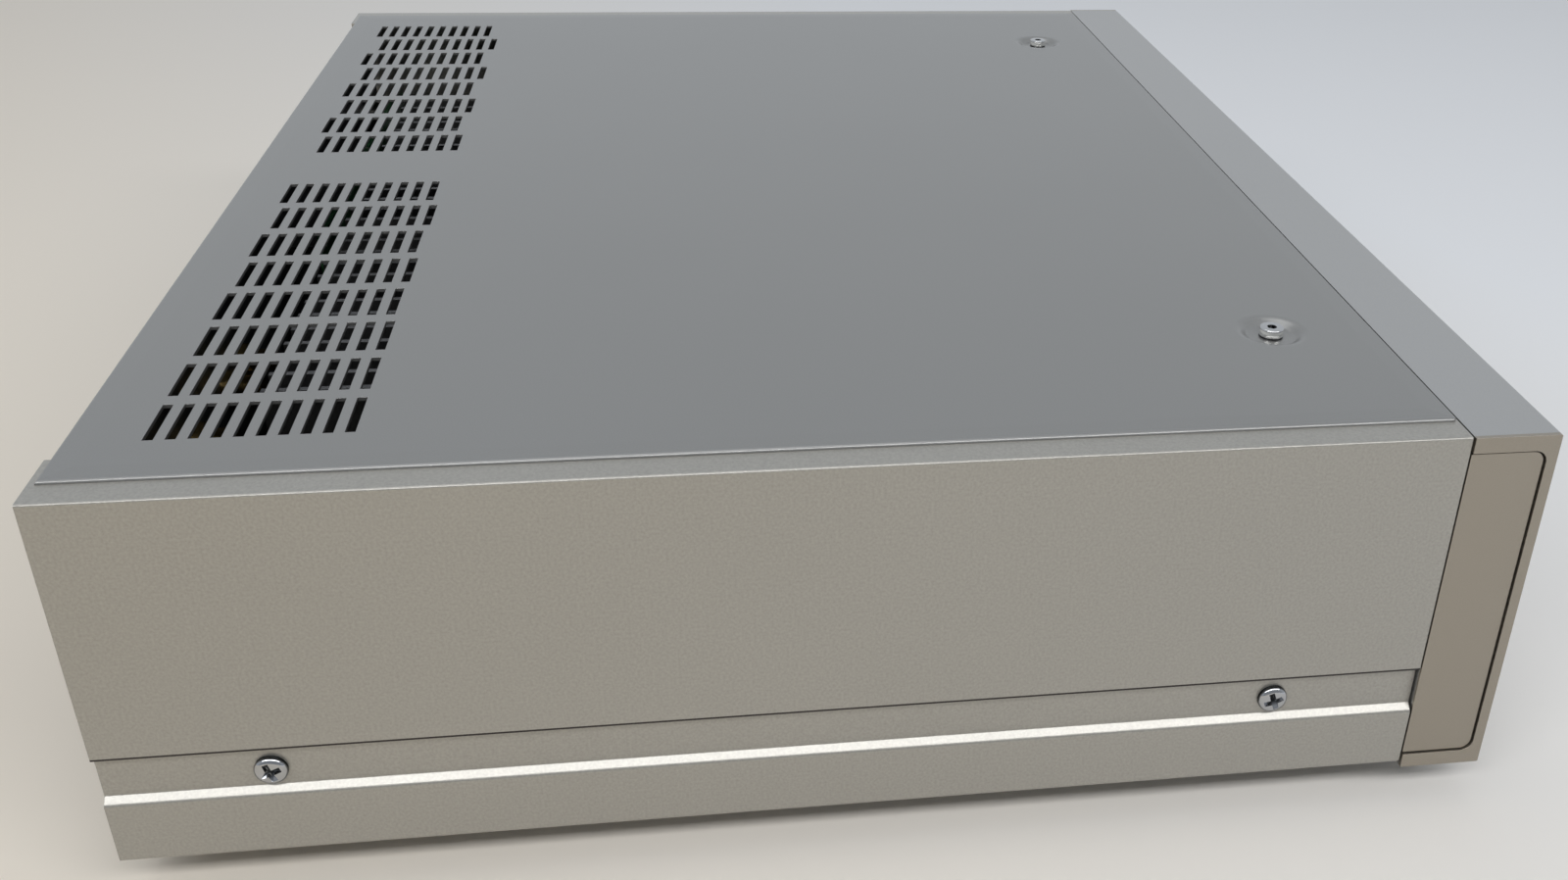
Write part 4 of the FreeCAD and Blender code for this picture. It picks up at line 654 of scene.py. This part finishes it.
FINISHES: dict[Slot, Finish] = {
    Slot.COVER: CoverFinish(
        "cover",
        (0.28, 0.28, 0.274),
        0.75,
        0.34,
        contrast=0.14,
        relief_mm=0.008,
        coat=0.2,
        coat_roughness=0.12,
        edge_mm=0.25,
    ),
    Slot.CASE: CaseFinish(
        "case",
        (0.38, 0.368, 0.338),
        0.7,
        0.36,
        pattern=(1400.0, 1400.0, 1400.0),
        contrast=0.42,
        blotch=0.08,
        relief_mm=0.02,
        coat=0.25,
        coat_roughness=0.12,
        edge_mm=0.25,
    ),
    Slot.FASCIA: FasciaFinish("fascia", (0.45, 0.45, 0.445), 0.9, 0.36, edge_mm=0.2),
    Slot.KNOB: Finish("knob", (0.52, 0.52, 0.525), 1.0, 0.28, contrast=0.2, blotch=0.03, relief_mm=0.004),
    Slot.ZINC: Finish(
        "zinc", (0.45, 0.46, 0.45), 1.0, 0.38, pattern=(900.0, 900.0, 900.0), contrast=0.2, blotch=0.2
    ),
    Slot.SCREW: Finish("screw", (0.46, 0.47, 0.49), 1.0, 0.09, contrast=0.06, blotch=0.08, relief_mm=0.002),
    Slot.REAR: Finish("rear", (0.022, 0.022, 0.024), 0.0, 0.48, contrast=0.2, blotch=0.1, relief_mm=0.03),
    Slot.BLACK_PLASTIC: Finish("black_plastic", (0.02, 0.02, 0.021), 0.0, 0.42, contrast=0.25, blotch=0.15),
    Slot.RED_PLASTIC: Finish(
        "red_plastic", (0.42, 0.018, 0.02), 0.0, 0.3, contrast=0.1, blotch=0.15, coat=0.4
    ),
    Slot.LEVER: Finish("lever", (0.045, 0.045, 0.048), 0.0, 0.4, contrast=0.2, blotch=0.15),
    Slot.RUBBER: Finish("rubber", (0.018, 0.018, 0.018), 0.0, 0.75, contrast=0.3, blotch=0.3, relief_mm=0.04),
    Slot.WINDOW: Finish(
        "window",
        (0.075, 0.078, 0.085),
        0.0,
        0.04,
        contrast=0.0,
        blotch=0.02,
        relief_mm=0.0,
        transmission=0.92,
    ),
    Slot.DISPLAY: Finish("display", (0.016, 0.02, 0.02), 0.0, 0.08, contrast=0.1, blotch=0.1, coat=0.6),
    Slot.BOARD: BoardFinish("board", (0.02, 0.095, 0.035), 0.0, 0.3, contrast=0.1, blotch=0.1, coat=0.5),
    Slot.BRASS: Finish("brass", (0.72, 0.52, 0.22), 1.0, 0.2, contrast=0.12, blotch=0.12, relief_mm=0.004),
    Slot.NICKEL: Finish("nickel", (0.66, 0.64, 0.6), 1.0, 0.18, contrast=0.08, blotch=0.12, relief_mm=0.003),
    Slot.HEATSINK: Finish(
        "heatsink",
        (0.3, 0.3, 0.305),
        1.0,
        0.4,
        Grain.BRUSHED,
        (2200.0, 2200.0, 40.0),
        contrast=0.3,
        blotch=0.08,
    ),
    Slot.SLEEVE: SleeveFinish("sleeve", (0.018, 0.02, 0.03), 0.0, 0.28, contrast=0.1, blotch=0.1, coat=0.3),
    Slot.WRAP: WrapFinish(
        "wrap", (0.5, 0.36, 0.1), 0.0, 0.3, contrast=0.1, blotch=0.15, relief_mm=0.03, coat=0.3
    ),
}


def placed(name: str, data: bpy.types.ID) -> bpy.types.Object:
    """Makes an object and links it to the scene.

    Args:
        name: Its name.
        data: Its mesh, lamp or camera.

    Returns:
        The object.
    """
    made = bpy.data.objects.new(name, data)
    bpy.context.scene.collection.objects.link(made)
    return made


class MeshMaker:
    """Makes small closed meshes."""

    SMOOTH_ANGLE = 35.0
    CUT_SMOOTH_ANGLE = 32.0

    @staticmethod
    def turned(outline: list[Pair], steps: int, closed: bool = False) -> bmesh.types.BMesh:
        """Turns an outline of radius and height, in millimetres, about Z.

        Args:
            outline: Points from the axis at the bottom to the axis at the top, or round a section.
            steps: The number of faces round it.
            closed: Whether the last point joins the first, as in a section.

        Returns:
            The closed mesh, in metres.
        """
        mesh = bmesh.new()
        angles = [math.tau * i / steps for i in range(steps)]
        rings = []
        for radius, height in outline:
            spots = [(radius * MM * math.cos(a), radius * MM * math.sin(a), height * MM) for a in angles]
            rings.append([mesh.verts.new(spot) for spot in (spots if radius else spots[:1])])
        for low, high in zip(rings, rings[1:] + (rings[:1] if closed else [])):
            for i in range(steps):
                j = (i + 1) % steps
                corners = [low[i % len(low)], low[j % len(low)], high[j % len(high)], high[i % len(high)]]
                mesh.faces.new(list(dict.fromkeys(corners)))
        bmesh.ops.recalc_face_normals(mesh, faces=mesh.faces)
        return mesh

    @classmethod
    def ring(cls, inner: float, outer: float, thick: float, steps: int) -> bmesh.types.BMesh:
        """Makes a flat ring on the origin, its thickness along Z, in millimetres.

        Args:
            inner: Its inner radius.
            outer: Its outer radius.
            thick: Its thickness.
            steps: The number of faces round it.

        Returns:
            The closed mesh, in metres.
        """
        return cls.turned([(inner, 0.0), (outer, 0.0), (outer, thick), (inner, thick)], steps, closed=True)

    @staticmethod
    def block(width: float, depth: float, height: float) -> bmesh.types.BMesh:
        """Makes a block that stands on the origin, in millimetres.

        Args:
            width: Its size along X.
            depth: Its size along Y.
            height: Its size along Z.

        Returns:
            The closed mesh, in metres.
        """
        mesh = bmesh.new()
        shift = Matrix.Translation((0.0, 0.0, height * MM / 2))
        size = Matrix.Diagonal((width * MM, depth * MM, height * MM, 1.0))
        bmesh.ops.create_cube(mesh, size=1.0, matrix=shift @ size)
        return mesh

    @classmethod
    def finished(cls, name: str, mesh: bmesh.types.BMesh) -> bpy.types.Mesh:
        """Turns a mesh under way into a finished one.

        Args:
            name: The mesh's name.
            mesh: The mesh under way, which is freed.

        Returns:
            The finished mesh.
        """
        made = bpy.data.meshes.new(name)
        mesh.to_mesh(made)
        mesh.free()
        return cls.smoothed(made, cls.SMOOTH_ANGLE)

    @staticmethod
    def smoothed(mesh: bpy.types.Mesh, degrees: float) -> bpy.types.Mesh:
        """Shades a mesh smooth apart from its sharp edges.

        Args:
            mesh: The mesh.
            degrees: Edges that turn by more than this stay sharp.

        Returns:
            The same mesh.
        """
        mesh.shade_smooth()
        mesh.set_sharp_from_angle(angle=math.radians(degrees))
        return mesh

    @classmethod
    def cut(cls, body: bpy.types.Mesh, tool: bpy.types.Mesh, name: str) -> bpy.types.Mesh:
        """Cuts one closed mesh from another.

        Args:
            body: The mesh that is cut.
            tool: The mesh that is taken away.
            name: The result's name.

        Returns:
            The cut mesh.
        """
        target = placed(name + "_body", body)
        cutter = placed(name + "_tool", tool)
        modifier = target.modifiers.new("cut", "BOOLEAN")
        modifier.object = cutter
        modifier.solver = "EXACT"
        bpy.context.view_layer.update()
        shown = target.evaluated_get(bpy.context.evaluated_depsgraph_get())
        made = bpy.data.meshes.new_from_object(shown)
        for item in (target, cutter):
            bpy.data.objects.remove(item)
        return cls.smoothed(made, cls.CUT_SMOOTH_ANGLE)


class Repeater:
    """Sets one small mesh at many places with Geometry Nodes and bakes the result."""

    TREE = "set_at_places"

    def tree(self) -> bpy.types.NodeTree:
        """Builds the node tree on first use and returns it."""
        made = bpy.data.node_groups.get(self.TREE)
        if made is None:
            made = bpy.data.node_groups.new(self.TREE, "GeometryNodeTree")
            for name, kind in (
                ("Geometry", "NodeSocketGeometry"),
                ("Piece", "NodeSocketObject"),
                ("Finish", "NodeSocketMaterial"),
            ):
                made.interface.new_socket(name=name, in_out="INPUT", socket_type=kind)
            made.interface.new_socket(name="Geometry", in_out="OUTPUT", socket_type="NodeSocketGeometry")
            self._fill(Graph(made))
        return made

    @staticmethod
    def _fill(graph: Graph) -> None:
        """Puts the nodes into the tree.

        Args:
            graph: The empty tree.
        """
        given = graph.add("NodeGroupInput").outputs
        result = graph.add("NodeGroupOutput").inputs
        piece = graph.add("GeometryNodeObjectInfo")
        graph.feed(piece.inputs["Object"], given["Piece"])
        turn = graph.add("GeometryNodeInputNamedAttribute", data_type="FLOAT_VECTOR")
        turn.inputs["Name"].default_value = "turn"
        rotation = graph.add("FunctionNodeEulerToRotation")
        graph.feed(rotation.inputs[0], turn.outputs["Attribute"])
        each = graph.add("GeometryNodeInstanceOnPoints")
        graph.feed(each.inputs["Points"], given["Geometry"])
        graph.feed(each.inputs["Instance"], piece.outputs["Geometry"])
        graph.feed(each.inputs["Rotation"], rotation.outputs[0])
        real = graph.add("GeometryNodeRealizeInstances")
        graph.feed(real.inputs["Geometry"], each.outputs["Instances"])
        dressed = graph.add("GeometryNodeSetMaterial")
        graph.feed(dressed.inputs["Geometry"], real.outputs["Geometry"])
        graph.feed(dressed.inputs["Material"], given["Finish"])
        graph.feed(result["Geometry"], dressed.outputs["Geometry"])

    def piece(
        self,
        name: str,
        mesh: bpy.types.Mesh,
        places: list[tuple[Point, Point]],
        finish: Finish,
        body: str,
        slot: Slot,
    ) -> bpy.types.Object:
        """Makes the finished piece.

        Args:
            name: The piece's name.
            mesh: The small mesh, at the origin.
            places: Each copy's place in millimetres and its turn as Euler angles in radians.
            finish: Its finish.
            body: The CAD body that it rides on.
            slot: The record's slot that its finish belongs to; not used.

        Returns:
            The finished piece's object.
        """
        model = placed(name + "_model", mesh)
        points = bpy.data.meshes.new(name + "_places")
        points.from_pydata([tuple(value * MM for value in place) for place, _ in places], [], [])
        turns = points.attributes.new("turn", "FLOAT_VECTOR", "POINT")
        turns.data.foreach_set("vector", [value for _, turn in places for value in turn])
        holder = placed(name + "_holder", points)
        modifier = holder.modifiers.new("places", "NODES")
        modifier.node_group = self.tree()
        values = {"Piece": model, "Finish": finish.material()}
        for item in modifier.node_group.interface.items_tree:
            if item.in_out == "INPUT" and item.name in values:
                modifier[item.identifier] = values[item.name]
        bpy.context.view_layer.update()
        shown = holder.evaluated_get(bpy.context.evaluated_depsgraph_get())
        baked = bpy.data.meshes.new_from_object(shown)
        holder.modifiers.remove(modifier)
        bpy.data.objects.remove(holder)
        bpy.data.objects.remove(model)
        baked.name = name
        made = placed(name, baked)
        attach(made, body)
        LOG.info("%s: %d places, %d faces", name, len(places), len(baked.polygons))
        return made


REPEATER = Repeater()
FACE_OUT_LEFT: Point = (0.0, -math.pi / 2, 0.0)
FACE_OUT_RIGHT: Point = (0.0, math.pi / 2, 0.0)
FACE_FRONT: Point = (math.pi / 2, 0.0, 0.0)
FACE_REAR: Point = (-math.pi / 2, 0.0, 0.0)
FACE_UP: Point = (0.0, 0.0, 0.0)


@dataclass
class SideScrew:
    """A pan-head screw with a cross recess, seat at the origin, head along Z, in millimetres.

    The tip and root are shares of the shank's radius. The rim and dome's height are shares of the
    head, the dome's radius is a share of its radius, and the crown is a share of each. The recess's
    levels are shares of its reach at its mouth and floor.
    """

    head_r: float = 4.05
    head: float = 2.2
    rim: float = 0.3
    dome_r: float = 0.55
    dome_h: float = 0.62
    dome_angles: tuple[float, ...] = (12, 26, 42, 60, 78)
    crown: Pair = (0.3, 0.97)
    shank_r: float = 2.0
    tip: float = 0.75
    root: float = 0.82
    neck: float = 0.3
    length: float = 7.0
    thread_pitch: float = 0.7
    steps: int = 48
    recess_reach: float = 3.1
    recess_width: float = 1.6
    recess_depth: float = 1.25
    recess_turn: float = 20.0
    recess_levels: Pair = (1.1, 0.5)
    recess_draft: float = 0.4
    recess_point: float = 0.5
    mouth_over: float = 0.3

    def mesh(self) -> bpy.types.Mesh:
        """Makes the screw and returns its mesh."""
        outline = [(0.0, -self.length), (self.shank_r * self.tip, -self.length)]
        root = self.shank_r * self.root
        for i in range(int(self.length / self.thread_pitch) - 1):
            low = -self.length + self.thread_pitch * (i + 0.5)
            outline += [(root, low), (self.shank_r, low + self.thread_pitch / 2)]
        outline += [(root, -self.neck), (self.shank_r, 0.0)]
        outline += [(self.head_r, 0.0), (self.head_r, self.head * self.rim)]
        for degrees in self.dome_angles:
            angle = math.radians(degrees)
            radius = self.head_r * (1.0 - self.dome_r + self.dome_r * math.cos(angle))
            outline.append((radius, self.head * (self.rim + self.dome_h * math.sin(angle))))
        outline += [(self.head_r * self.crown[0], self.head * self.crown[1]), (0.0, self.head)]
        body = MeshMaker.finished("side_screw_body", MeshMaker.turned(outline, self.steps))
        tool = MeshMaker.finished("side_screw_recess", self._recess())
        return MeshMaker.cut(body, tool, "side_screw")

    def _recess(self) -> bmesh.types.BMesh:
        """Makes the tapered cross that is taken from the head."""
        mesh = bmesh.new()
        floor = self.head - self.recess_depth
        rings = []
        for height, share in zip((self.head + self.mouth_over, floor), self.recess_levels):
            reach = self.recess_reach * share * MM
            half = self.recess_width * (1.0 - self.recess_draft + self.recess_draft * share) / 2 * MM
            corners = []
            for k in range(4):
                turn = Matrix.Rotation(math.pi / 2 * k + math.radians(self.recess_turn), 3, "Z")
                for x, y in ((reach, -half), (reach, half), (half, half)):
                    corners.append(turn @ Vector((x, y, height * MM)))
            rings.append([mesh.verts.new(corner) for corner in corners])
        tip = mesh.verts.new((0.0, 0.0, (floor - self.recess_point) * MM))
        top, low = rings
        mesh.faces.new(top)
        for i in range(len(top)):
            j = (i + 1) % len(top)
            mesh.faces.new((top[i], low[i], low[j], top[j]))
            mesh.faces.new((low[i], tip, low[j]))
        bmesh.ops.recalc_face_normals(mesh, faces=mesh.faces)
        return mesh


@dataclass
class CoverScrew:
    """A cap screw with a hex socket, seat at the origin, head along Z, in millimetres."""

    head_r: float = 3.4
    head: float = 2.8
    shank_r: float = 2.0
    length: float = 9.0
    edge: float = 0.45
    edge_angles: tuple[float, ...] = (0, 22, 45, 68, 90)
    steps: int = 64
    socket: float = 2.5
    depth: float = 1.4
    drill_point: float = 0.35
    chamfer: Pair = (0.3, 0.12)
    mouth_over: float = 0.2

    def mesh(self) -> bpy.types.Mesh:
        """Makes the screw and returns its mesh."""
        outline = [(0.0, -self.length), (self.shank_r, -self.length), (self.shank_r, 0.0), (self.head_r, 0.0)]
        for degrees in self.edge_angles:
            angle = math.radians(degrees)
            radius = self.head_r - self.edge * (1.0 - math.cos(angle))
            outline.append((radius, self.head - self.edge * (1.0 - math.sin(angle))))
        outline.append((0.0, self.head))
        body = MeshMaker.finished("cover_screw_body", MeshMaker.turned(outline, self.steps))
        corner = self.socket / 2 / math.cos(math.pi / 6)
        floor = self.head - self.depth
        mouth = self.head + self.mouth_over
        pit = [(0.0, floor - self.drill_point), (corner, floor), (corner, self.head - self.chamfer[1])]
        pit += [(corner + self.chamfer[0], mouth), (0.0, mouth)]
        tool = MeshMaker.finished("cover_screw_socket", MeshMaker.turned(pit, 6))
        return MeshMaker.cut(body, tool, "cover_screw")


@dataclass
class Case:
    """The screws of the sheet-metal case, in millimetres."""

    side_x: float = 218.0
    side_z: float = 38.0
    side_rows: Pair = (-115.15, 141.05)
    cover_x: float = 156.3
    cover_y: float = -125.35
    cover_seat: float = 116.0
    # Far brighter than the screws' plate: a painted highlight, a lit copy of the plate on the cover screws'
    # sides.
    lit_cover_plate: Colour = (0.95, 0.95, 0.93)
    side_screw: SideScrew = field(default_factory=SideScrew)
    cover_screw: CoverScrew = field(default_factory=CoverScrew)

    def build(self) -> None:
        """Makes the visible screws in place of the plain ones."""
        places = []
        for side, turn in ((-1, FACE_OUT_LEFT), (1, FACE_OUT_RIGHT)):
            places += [((side * self.side_x, y, self.side_z), turn) for y in self.side_rows]
        plate = FINISHES[Slot.SCREW]
        shared = {"roughness": plate.roughness, "contrast": plate.contrast, "relief_mm": plate.relief_mm}
        finish = SideScrewFinish("side_screw", plate.colour, plate.metallic, **shared)
        mesh = self.side_screw.mesh()
        sides = REPEATER.piece("side_screws_cross", mesh, places, finish, "chassis", Slot.SCREW)
        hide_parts("side_screws")
        places = [((side * self.cover_x, self.cover_y, self.cover_seat), FACE_UP) for side in (-1, 1)]
        axis = (self.cover_x * MM, self.cover_y * MM)
        finish = CoverScrewFinish("cover_screw", self.lit_cover_plate, plate.metallic, **shared, axis=axis)
        mesh = self.cover_screw.mesh()
        tops = REPEATER.piece("cover_screws_hex", mesh, places, finish, "chassis", Slot.SCREW)
        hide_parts("cover_screws")


@dataclass
class FrontControls:
    """The knobs, marks and display of the front, in millimetres.

    A dial is its marks' radius, their number, and the angle from the top to the last, in degrees.
    """

    face_y: float = -178.65
    volume: Pair = (155.0, 69.7)
    selector: Pair = (-160.0, 75.7)
    tone_x: tuple[float, ...] = (-95.0, -63.0, -31.0)
    tone_names: tuple[str, ...] = ("bass_knob", "treble_knob", "balance_knob")
    row_z: float = 37.0
    volume_dial: Dial = (33.5, 31, 150.0)
    tone_dial: Dial = (12.0, 11, 140.0)
    selector_dial: Dial = (23.0, 12, 165.0)
    mark: float = 0.08
    bar: Pair = (0.7, 3.2)
    spot_r: float = 0.45
    tube_y: float = -167.25
    tube_x: Pair = (-92.0, 72.0)
    tube_z: float = 78.7
    dot: float = 0.9
    dot_thick: float = 0.05
    dot_pitch: float = 1.3
    digits: int = 16
    digit_columns: int = 5
    digit_rows: int = 7
    spun_contrast: float = 0.22

    def dress(self, nodes: dict[str, bpy.types.Object]) -> None:
        """Gives each knob a spun finish about its own axis.

        Args:
            nodes: The CAD nodes by name.
        """
        plain = FINISHES[Slot.KNOB]
        tones = [(name, (x, self.row_z)) for name, x in zip(self.tone_names, self.tone_x)]
        for name, (x, z) in [("volume_knob", self.volume), ("input_knob", self.selector), *tones]:
            spun = Finish(
                name,
                plain.colour,
                plain.metallic,
                plain.roughness,
                Grain.SPUN,
                (x * MM, 0.0, z * MM),
                self.spun_contrast,
                plain.blotch,
                plain.relief_mm,
            )
            nodes[name].material_slots[0].material = spun.material()

    def build(self) -> None:
        """Makes the dial marks and the display's dots."""
        ink = Finish("mark_ink", (0.03, 0.03, 0.032), 0.0, 0.5, contrast=0.1, blotch=0.1)
        bar = MeshMaker.finished("mark_bar", MeshMaker.block(*self.bar, self.mark))
        places = self._dial(*self.volume, *self.volume_dial)
        REPEATER.piece("volume_marks", bar, places, ink, "chassis", Slot.BLACK_PLASTIC)
        outline = [(0.0, 0.0), (self.spot_r, 0.0), (self.spot_r, self.mark), (0.0, self.mark)]
        dot = MeshMaker.finished("mark_dot", MeshMaker.turned(outline, 12))
        places = []
        for x in self.tone_x:
            places += self._dial(x, self.row_z, *self.tone_dial)
        places += self._dial(*self.selector, *self.selector_dial)
        REPEATER.piece("control_marks", dot, places, ink, "chassis", Slot.BLACK_PLASTIC)
        glow = Finish("display_dot", (0.11, 0.15, 0.14), 0.0, 0.4, contrast=0.1, blotch=0.1)
        cell = MeshMaker.finished("display_cell", MeshMaker.block(self.dot, self.dot, self.dot_thick))
        REPEATER.piece("display_dots", cell, self._digits(), glow, "chassis", Slot.DISPLAY)

    def _dial(self, x: float, z: float, radius: float, count: int, reach: float) -> list[tuple[Point, Point]]:
        """Places marks round a knob.

        Args:
            x: The knob's X.
            z: The knob's Z.
            radius: The marks' radius.
            count: The number of marks.
            reach: The angle of the first and last from the top, in degrees.

        Returns:
            Each mark's place and turn.
        """
        places = []
        for i in range(count):
            angle = math.radians(-reach + 2 * reach * i / (count - 1))
            place = (x + radius * math.sin(angle), self.face_y, z + radius * math.cos(angle))
            turn = (Matrix.Rotation(angle, 3, "Y") @ Euler(FACE_FRONT).to_matrix()).to_euler()
            places.append((place, tuple(turn)))
        return places

    def _digits(self) -> list[tuple[Point, Point]]:
        """Places the dots of the unlit display."""
        places = []
        pitch = (self.tube_x[1] - self.tube_x[0]) / (self.digits - 1)
        for digit in range(self.digits):
            for column in range(self.digit_columns):
                for row in range(self.digit_rows):
                    x = self.tube_x[0] + pitch * digit + self.dot_pitch * (column - self.digit_columns // 2)
                    z = self.tube_z + self.dot_pitch * (row - self.digit_rows // 2)
                    places.append(((x, self.tube_y, z), FACE_FRONT))
        return places


@dataclass
class RearSockets:
    """The coloured rings and contacts of the rear sockets, in millimetres.

    A ring is its inner radius, outer radius and thickness.
    """

    columns: tuple[float, ...] = (22.0, 40.0, 58.0, 76.0, 94.0, 112.0, 130.0)
    low_z: float = 59.0
    high_z: float = 75.0
    nose_y: float = 178.65
    core_y: float = 184.65
    nose_ring: Point = (4.3, 5.15, 0.25)
    contact: Point = (1.5, 1.95, 0.12)

    def build(self) -> None:
        """Makes the rings and the contacts."""
        ring = MeshMaker.finished("socket_ring", MeshMaker.ring(*self.nose_ring, 40))
        white = Finish("ring_white", (0.68, 0.67, 0.64), 0.0, 0.4, contrast=0.05, blotch=0.1)
        rows = (self.low_z, self.high_z)
        low, high = [[((x, self.nose_y, z), FACE_REAR) for x in self.columns] for z in rows]
        REPEATER.piece("socket_rings_white", ring, high, white, "chassis", Slot.NICKEL)
        red = FINISHES[Slot.RED_PLASTIC]
        REPEATER.piece("socket_rings_red", ring, low, red, "chassis", Slot.RED_PLASTIC)
        tips = [((x, self.core_y, z), FACE_REAR) for x in self.columns for z in (self.low_z, self.high_z)]
        contact = MeshMaker.finished("contact_ring", MeshMaker.ring(*self.contact, 24))
        REPEATER.piece("socket_contacts", contact, tips, FINISHES[Slot.BRASS], "chassis", Slot.BRASS)


@dataclass(frozen=True)
class Camera:
    """The camera that took the photo, in the object's frame, in metres and in the photo's pixels."""

    place: Point = (-0.5294, 0.03298, 0.29456)
    forward: Point = (0.85956729, -0.14499052, -0.49002226)
    right: Point = (-0.14859462, -0.98838697, 0.03179379)
    focal_px: float = 1573.02
    centre_px: Pair = (948.72, 466.83)
    frame_px: Pair = (1600.0, 898.0)
    sensor_mm: float = 36.0
    nearest: float = 0.01

    def build(self) -> None:
        """Makes the camera and sets it as the scene's."""
        data = bpy.data.cameras.new("photo_camera")
        data.sensor_width = self.sensor_mm
        data.lens = self.focal_px / self.frame_px[0] * self.sensor_mm
        data.shift_x = (self.frame_px[0] / 2 - self.centre_px[0]) / self.frame_px[0]
        data.shift_y = (self.centre_px[1] - self.frame_px[1] / 2) / self.frame_px[0]
        data.clip_start = self.nearest
        forward = Vector(self.forward).normalized()
        right = Vector(self.right)
        right = (right - forward * right.dot(forward)).normalized()
        up = right.cross(forward)
        turn = Matrix((right, up, -forward)).transposed().to_4x4()
        camera = placed("photo_camera", data)
        camera.matrix_world = Matrix.Translation(self.place) @ turn
        bpy.context.scene.camera = camera


@dataclass(frozen=True)
class Lamp:
    """A soft rectangular lamp that points at a spot."""

    name: str
    place: Point
    aim: Point
    width: float
    height: float
    watts: float

    def build(self) -> None:
        """Makes the lamp."""
        data = bpy.data.lights.new(self.name, "AREA")
        data.shape = "RECTANGLE"
        data.size = self.width
        data.size_y = self.height
        data.energy = self.watts
        lamp = placed(self.name, data)
        toward = Vector(self.aim) - Vector(self.place)
        turn = toward.to_track_quat("-Z", "Y").to_matrix().to_4x4()
        lamp.matrix_world = Matrix.Translation(self.place) @ turn


@dataclass
class Studio:
    """A pale floor, a soft surround and soft lamps."""

    floor_half: float = 30.0
    near: float = 1.0
    far: float = 2.6
    warm: Colour = (0.84, 0.765, 0.65)
    cool: Colour = (0.87, 0.89, 0.92)
    backdrop: Colour = (0.60, 0.605, 0.615)
    surround: Colour = (0.65, 0.68, 0.715)
    dark_side: float = 0.5
    dark_x: Pair = (-0.8, 0.1)
    fill: float = 0.42
    warm_slant: float = 0.5
    warm_reach: float = 0.45
    paper_roughness: float = 0.9
    paper_gloss: float = 0.1
    lamps: tuple[Lamp, ...] = (
        Lamp("side_lamp", (-1.62, 0.0, 1.85), (-0.2, 0.0, 0.05), 5.0, 0.42, 49.0),
        Lamp("top_lamp", (0.3, 0.2, 2.4), (0.0, 0.0, 0.1), 1.6, 1.6, 8.0),
    )

    def build(self) -> None:
        """Makes the floor, the world and the lamps."""
        bpy.context.scene.view_settings.view_transform = "Standard"
        mesh = bmesh.new()
        bmesh.ops.create_grid(mesh, x_segments=1, y_segments=1, size=self.floor_half)
        floor = placed("studio_floor", MeshMaker.finished("studio_floor", mesh))
        floor.data.materials.append(self._floor_material())
        self._world()
        for lamp in self.lamps:
            lamp.build()

    def _floor_material(self) -> bpy.types.Material:
        """Makes the floor's paper: pale, warmer on the near side, and an even backdrop far off."""
        made = bpy.data.materials.new("studio_paper")
        made.use_nodes = True
        graph = Graph(made.node_tree)
        shader = made.node_tree.nodes["Principled BSDF"]
        x, y, _ = graph.parts(graph.place())
        across = graph.math("SUBTRACT", y, graph.math("MULTIPLY", x, self.warm_slant))
        warmth = graph.ramp(across, -self.warm_reach, self.warm_reach)
        graph.feed(shader.inputs["Base Color"], graph.mixed(warmth, self.cool, self.warm))
        shader.inputs["Roughness"].default_value = self.paper_roughness
        shader.inputs["Specular IOR Level"].default_value = self.paper_gloss
        distant = graph.ramp(graph.length(x, y), self.near, self.far)
        share = graph.math("MULTIPLY", distant, self._seen(graph))
        glow = graph.add("ShaderNodeEmission")
        graph.feed(glow.inputs["Color"], self.backdrop)
        both = graph.add("ShaderNodeMixShader")
        graph.feed(both.inputs[0], share)
        graph.feed(both.inputs[1], shader.outputs[0])
        graph.feed(both.inputs[2], glow.outputs[0])
        graph.feed(made.node_tree.nodes["Material Output"].inputs["Surface"], both.outputs[0])
        return made

    @staticmethod
    def _seen(graph: Graph) -> Socket:
        """Marks the rays that show the background: from the camera, in metal and through glass.

        Args:
            graph: A material's or the world's tree.

        Returns:
            The mark's socket, 0 or 1.
        """
        path = graph.add("ShaderNodeLightPath").outputs
        direct = graph.math("MAXIMUM", path["Is Camera Ray"], path["Is Transmission Ray"])
        return graph.math("MAXIMUM", direct, path["Is Glossy Ray"])

    def _world(self) -> None:
        """Makes the surround: dimmer as a light than it looks, and darker on the side of the lamp."""
        world = bpy.data.worlds.new("studio_surround")
        bpy.context.scene.world = world
        world.use_nodes = True
        graph = Graph(world.node_tree)
        back = world.node_tree.nodes["Background"]
        x, _, _ = graph.parts(graph.add("ShaderNodeTexCoord").outputs["Generated"])
        level = graph.ramp(x, *self.dark_x)
        dark = tuple(value * self.dark_side for value in self.surround)
        shown = graph.mixed(level, dark, self.surround)
        dim = tuple(value * self.fill for value in self.surround)
        graph.feed(back.inputs["Color"], graph.mixed(self._seen(graph), dim, shown))


def dress_nodes(nodes: dict[str, bpy.types.Object]) -> None:
    """Gives every CAD node the finish of its slot.

    Args:
        nodes: The CAD nodes by name.
    """
    by_slot = {slot.value: finish for slot, finish in FINISHES.items()}
    for name, node in nodes.items():
        for holder in node.material_slots:
            slot = holder.material.name
            if slot in by_slot:
                holder.material = by_slot[slot].material()
        LOG.info("%s dressed", name)


def main() -> None:
    """Builds the dressed receiver, the studio and the camera."""
    logging.basicConfig(level=logging.INFO, format="%(message)s")
    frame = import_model()
    nodes = frame["nodes"]
    dress_nodes(nodes)
    Case().build()
    controls = FrontControls()
    controls.dress(nodes)
    controls.build()
    RearSockets().build()
    Camera().build()
    Studio().build()


if __name__ == "__main__":
    main()
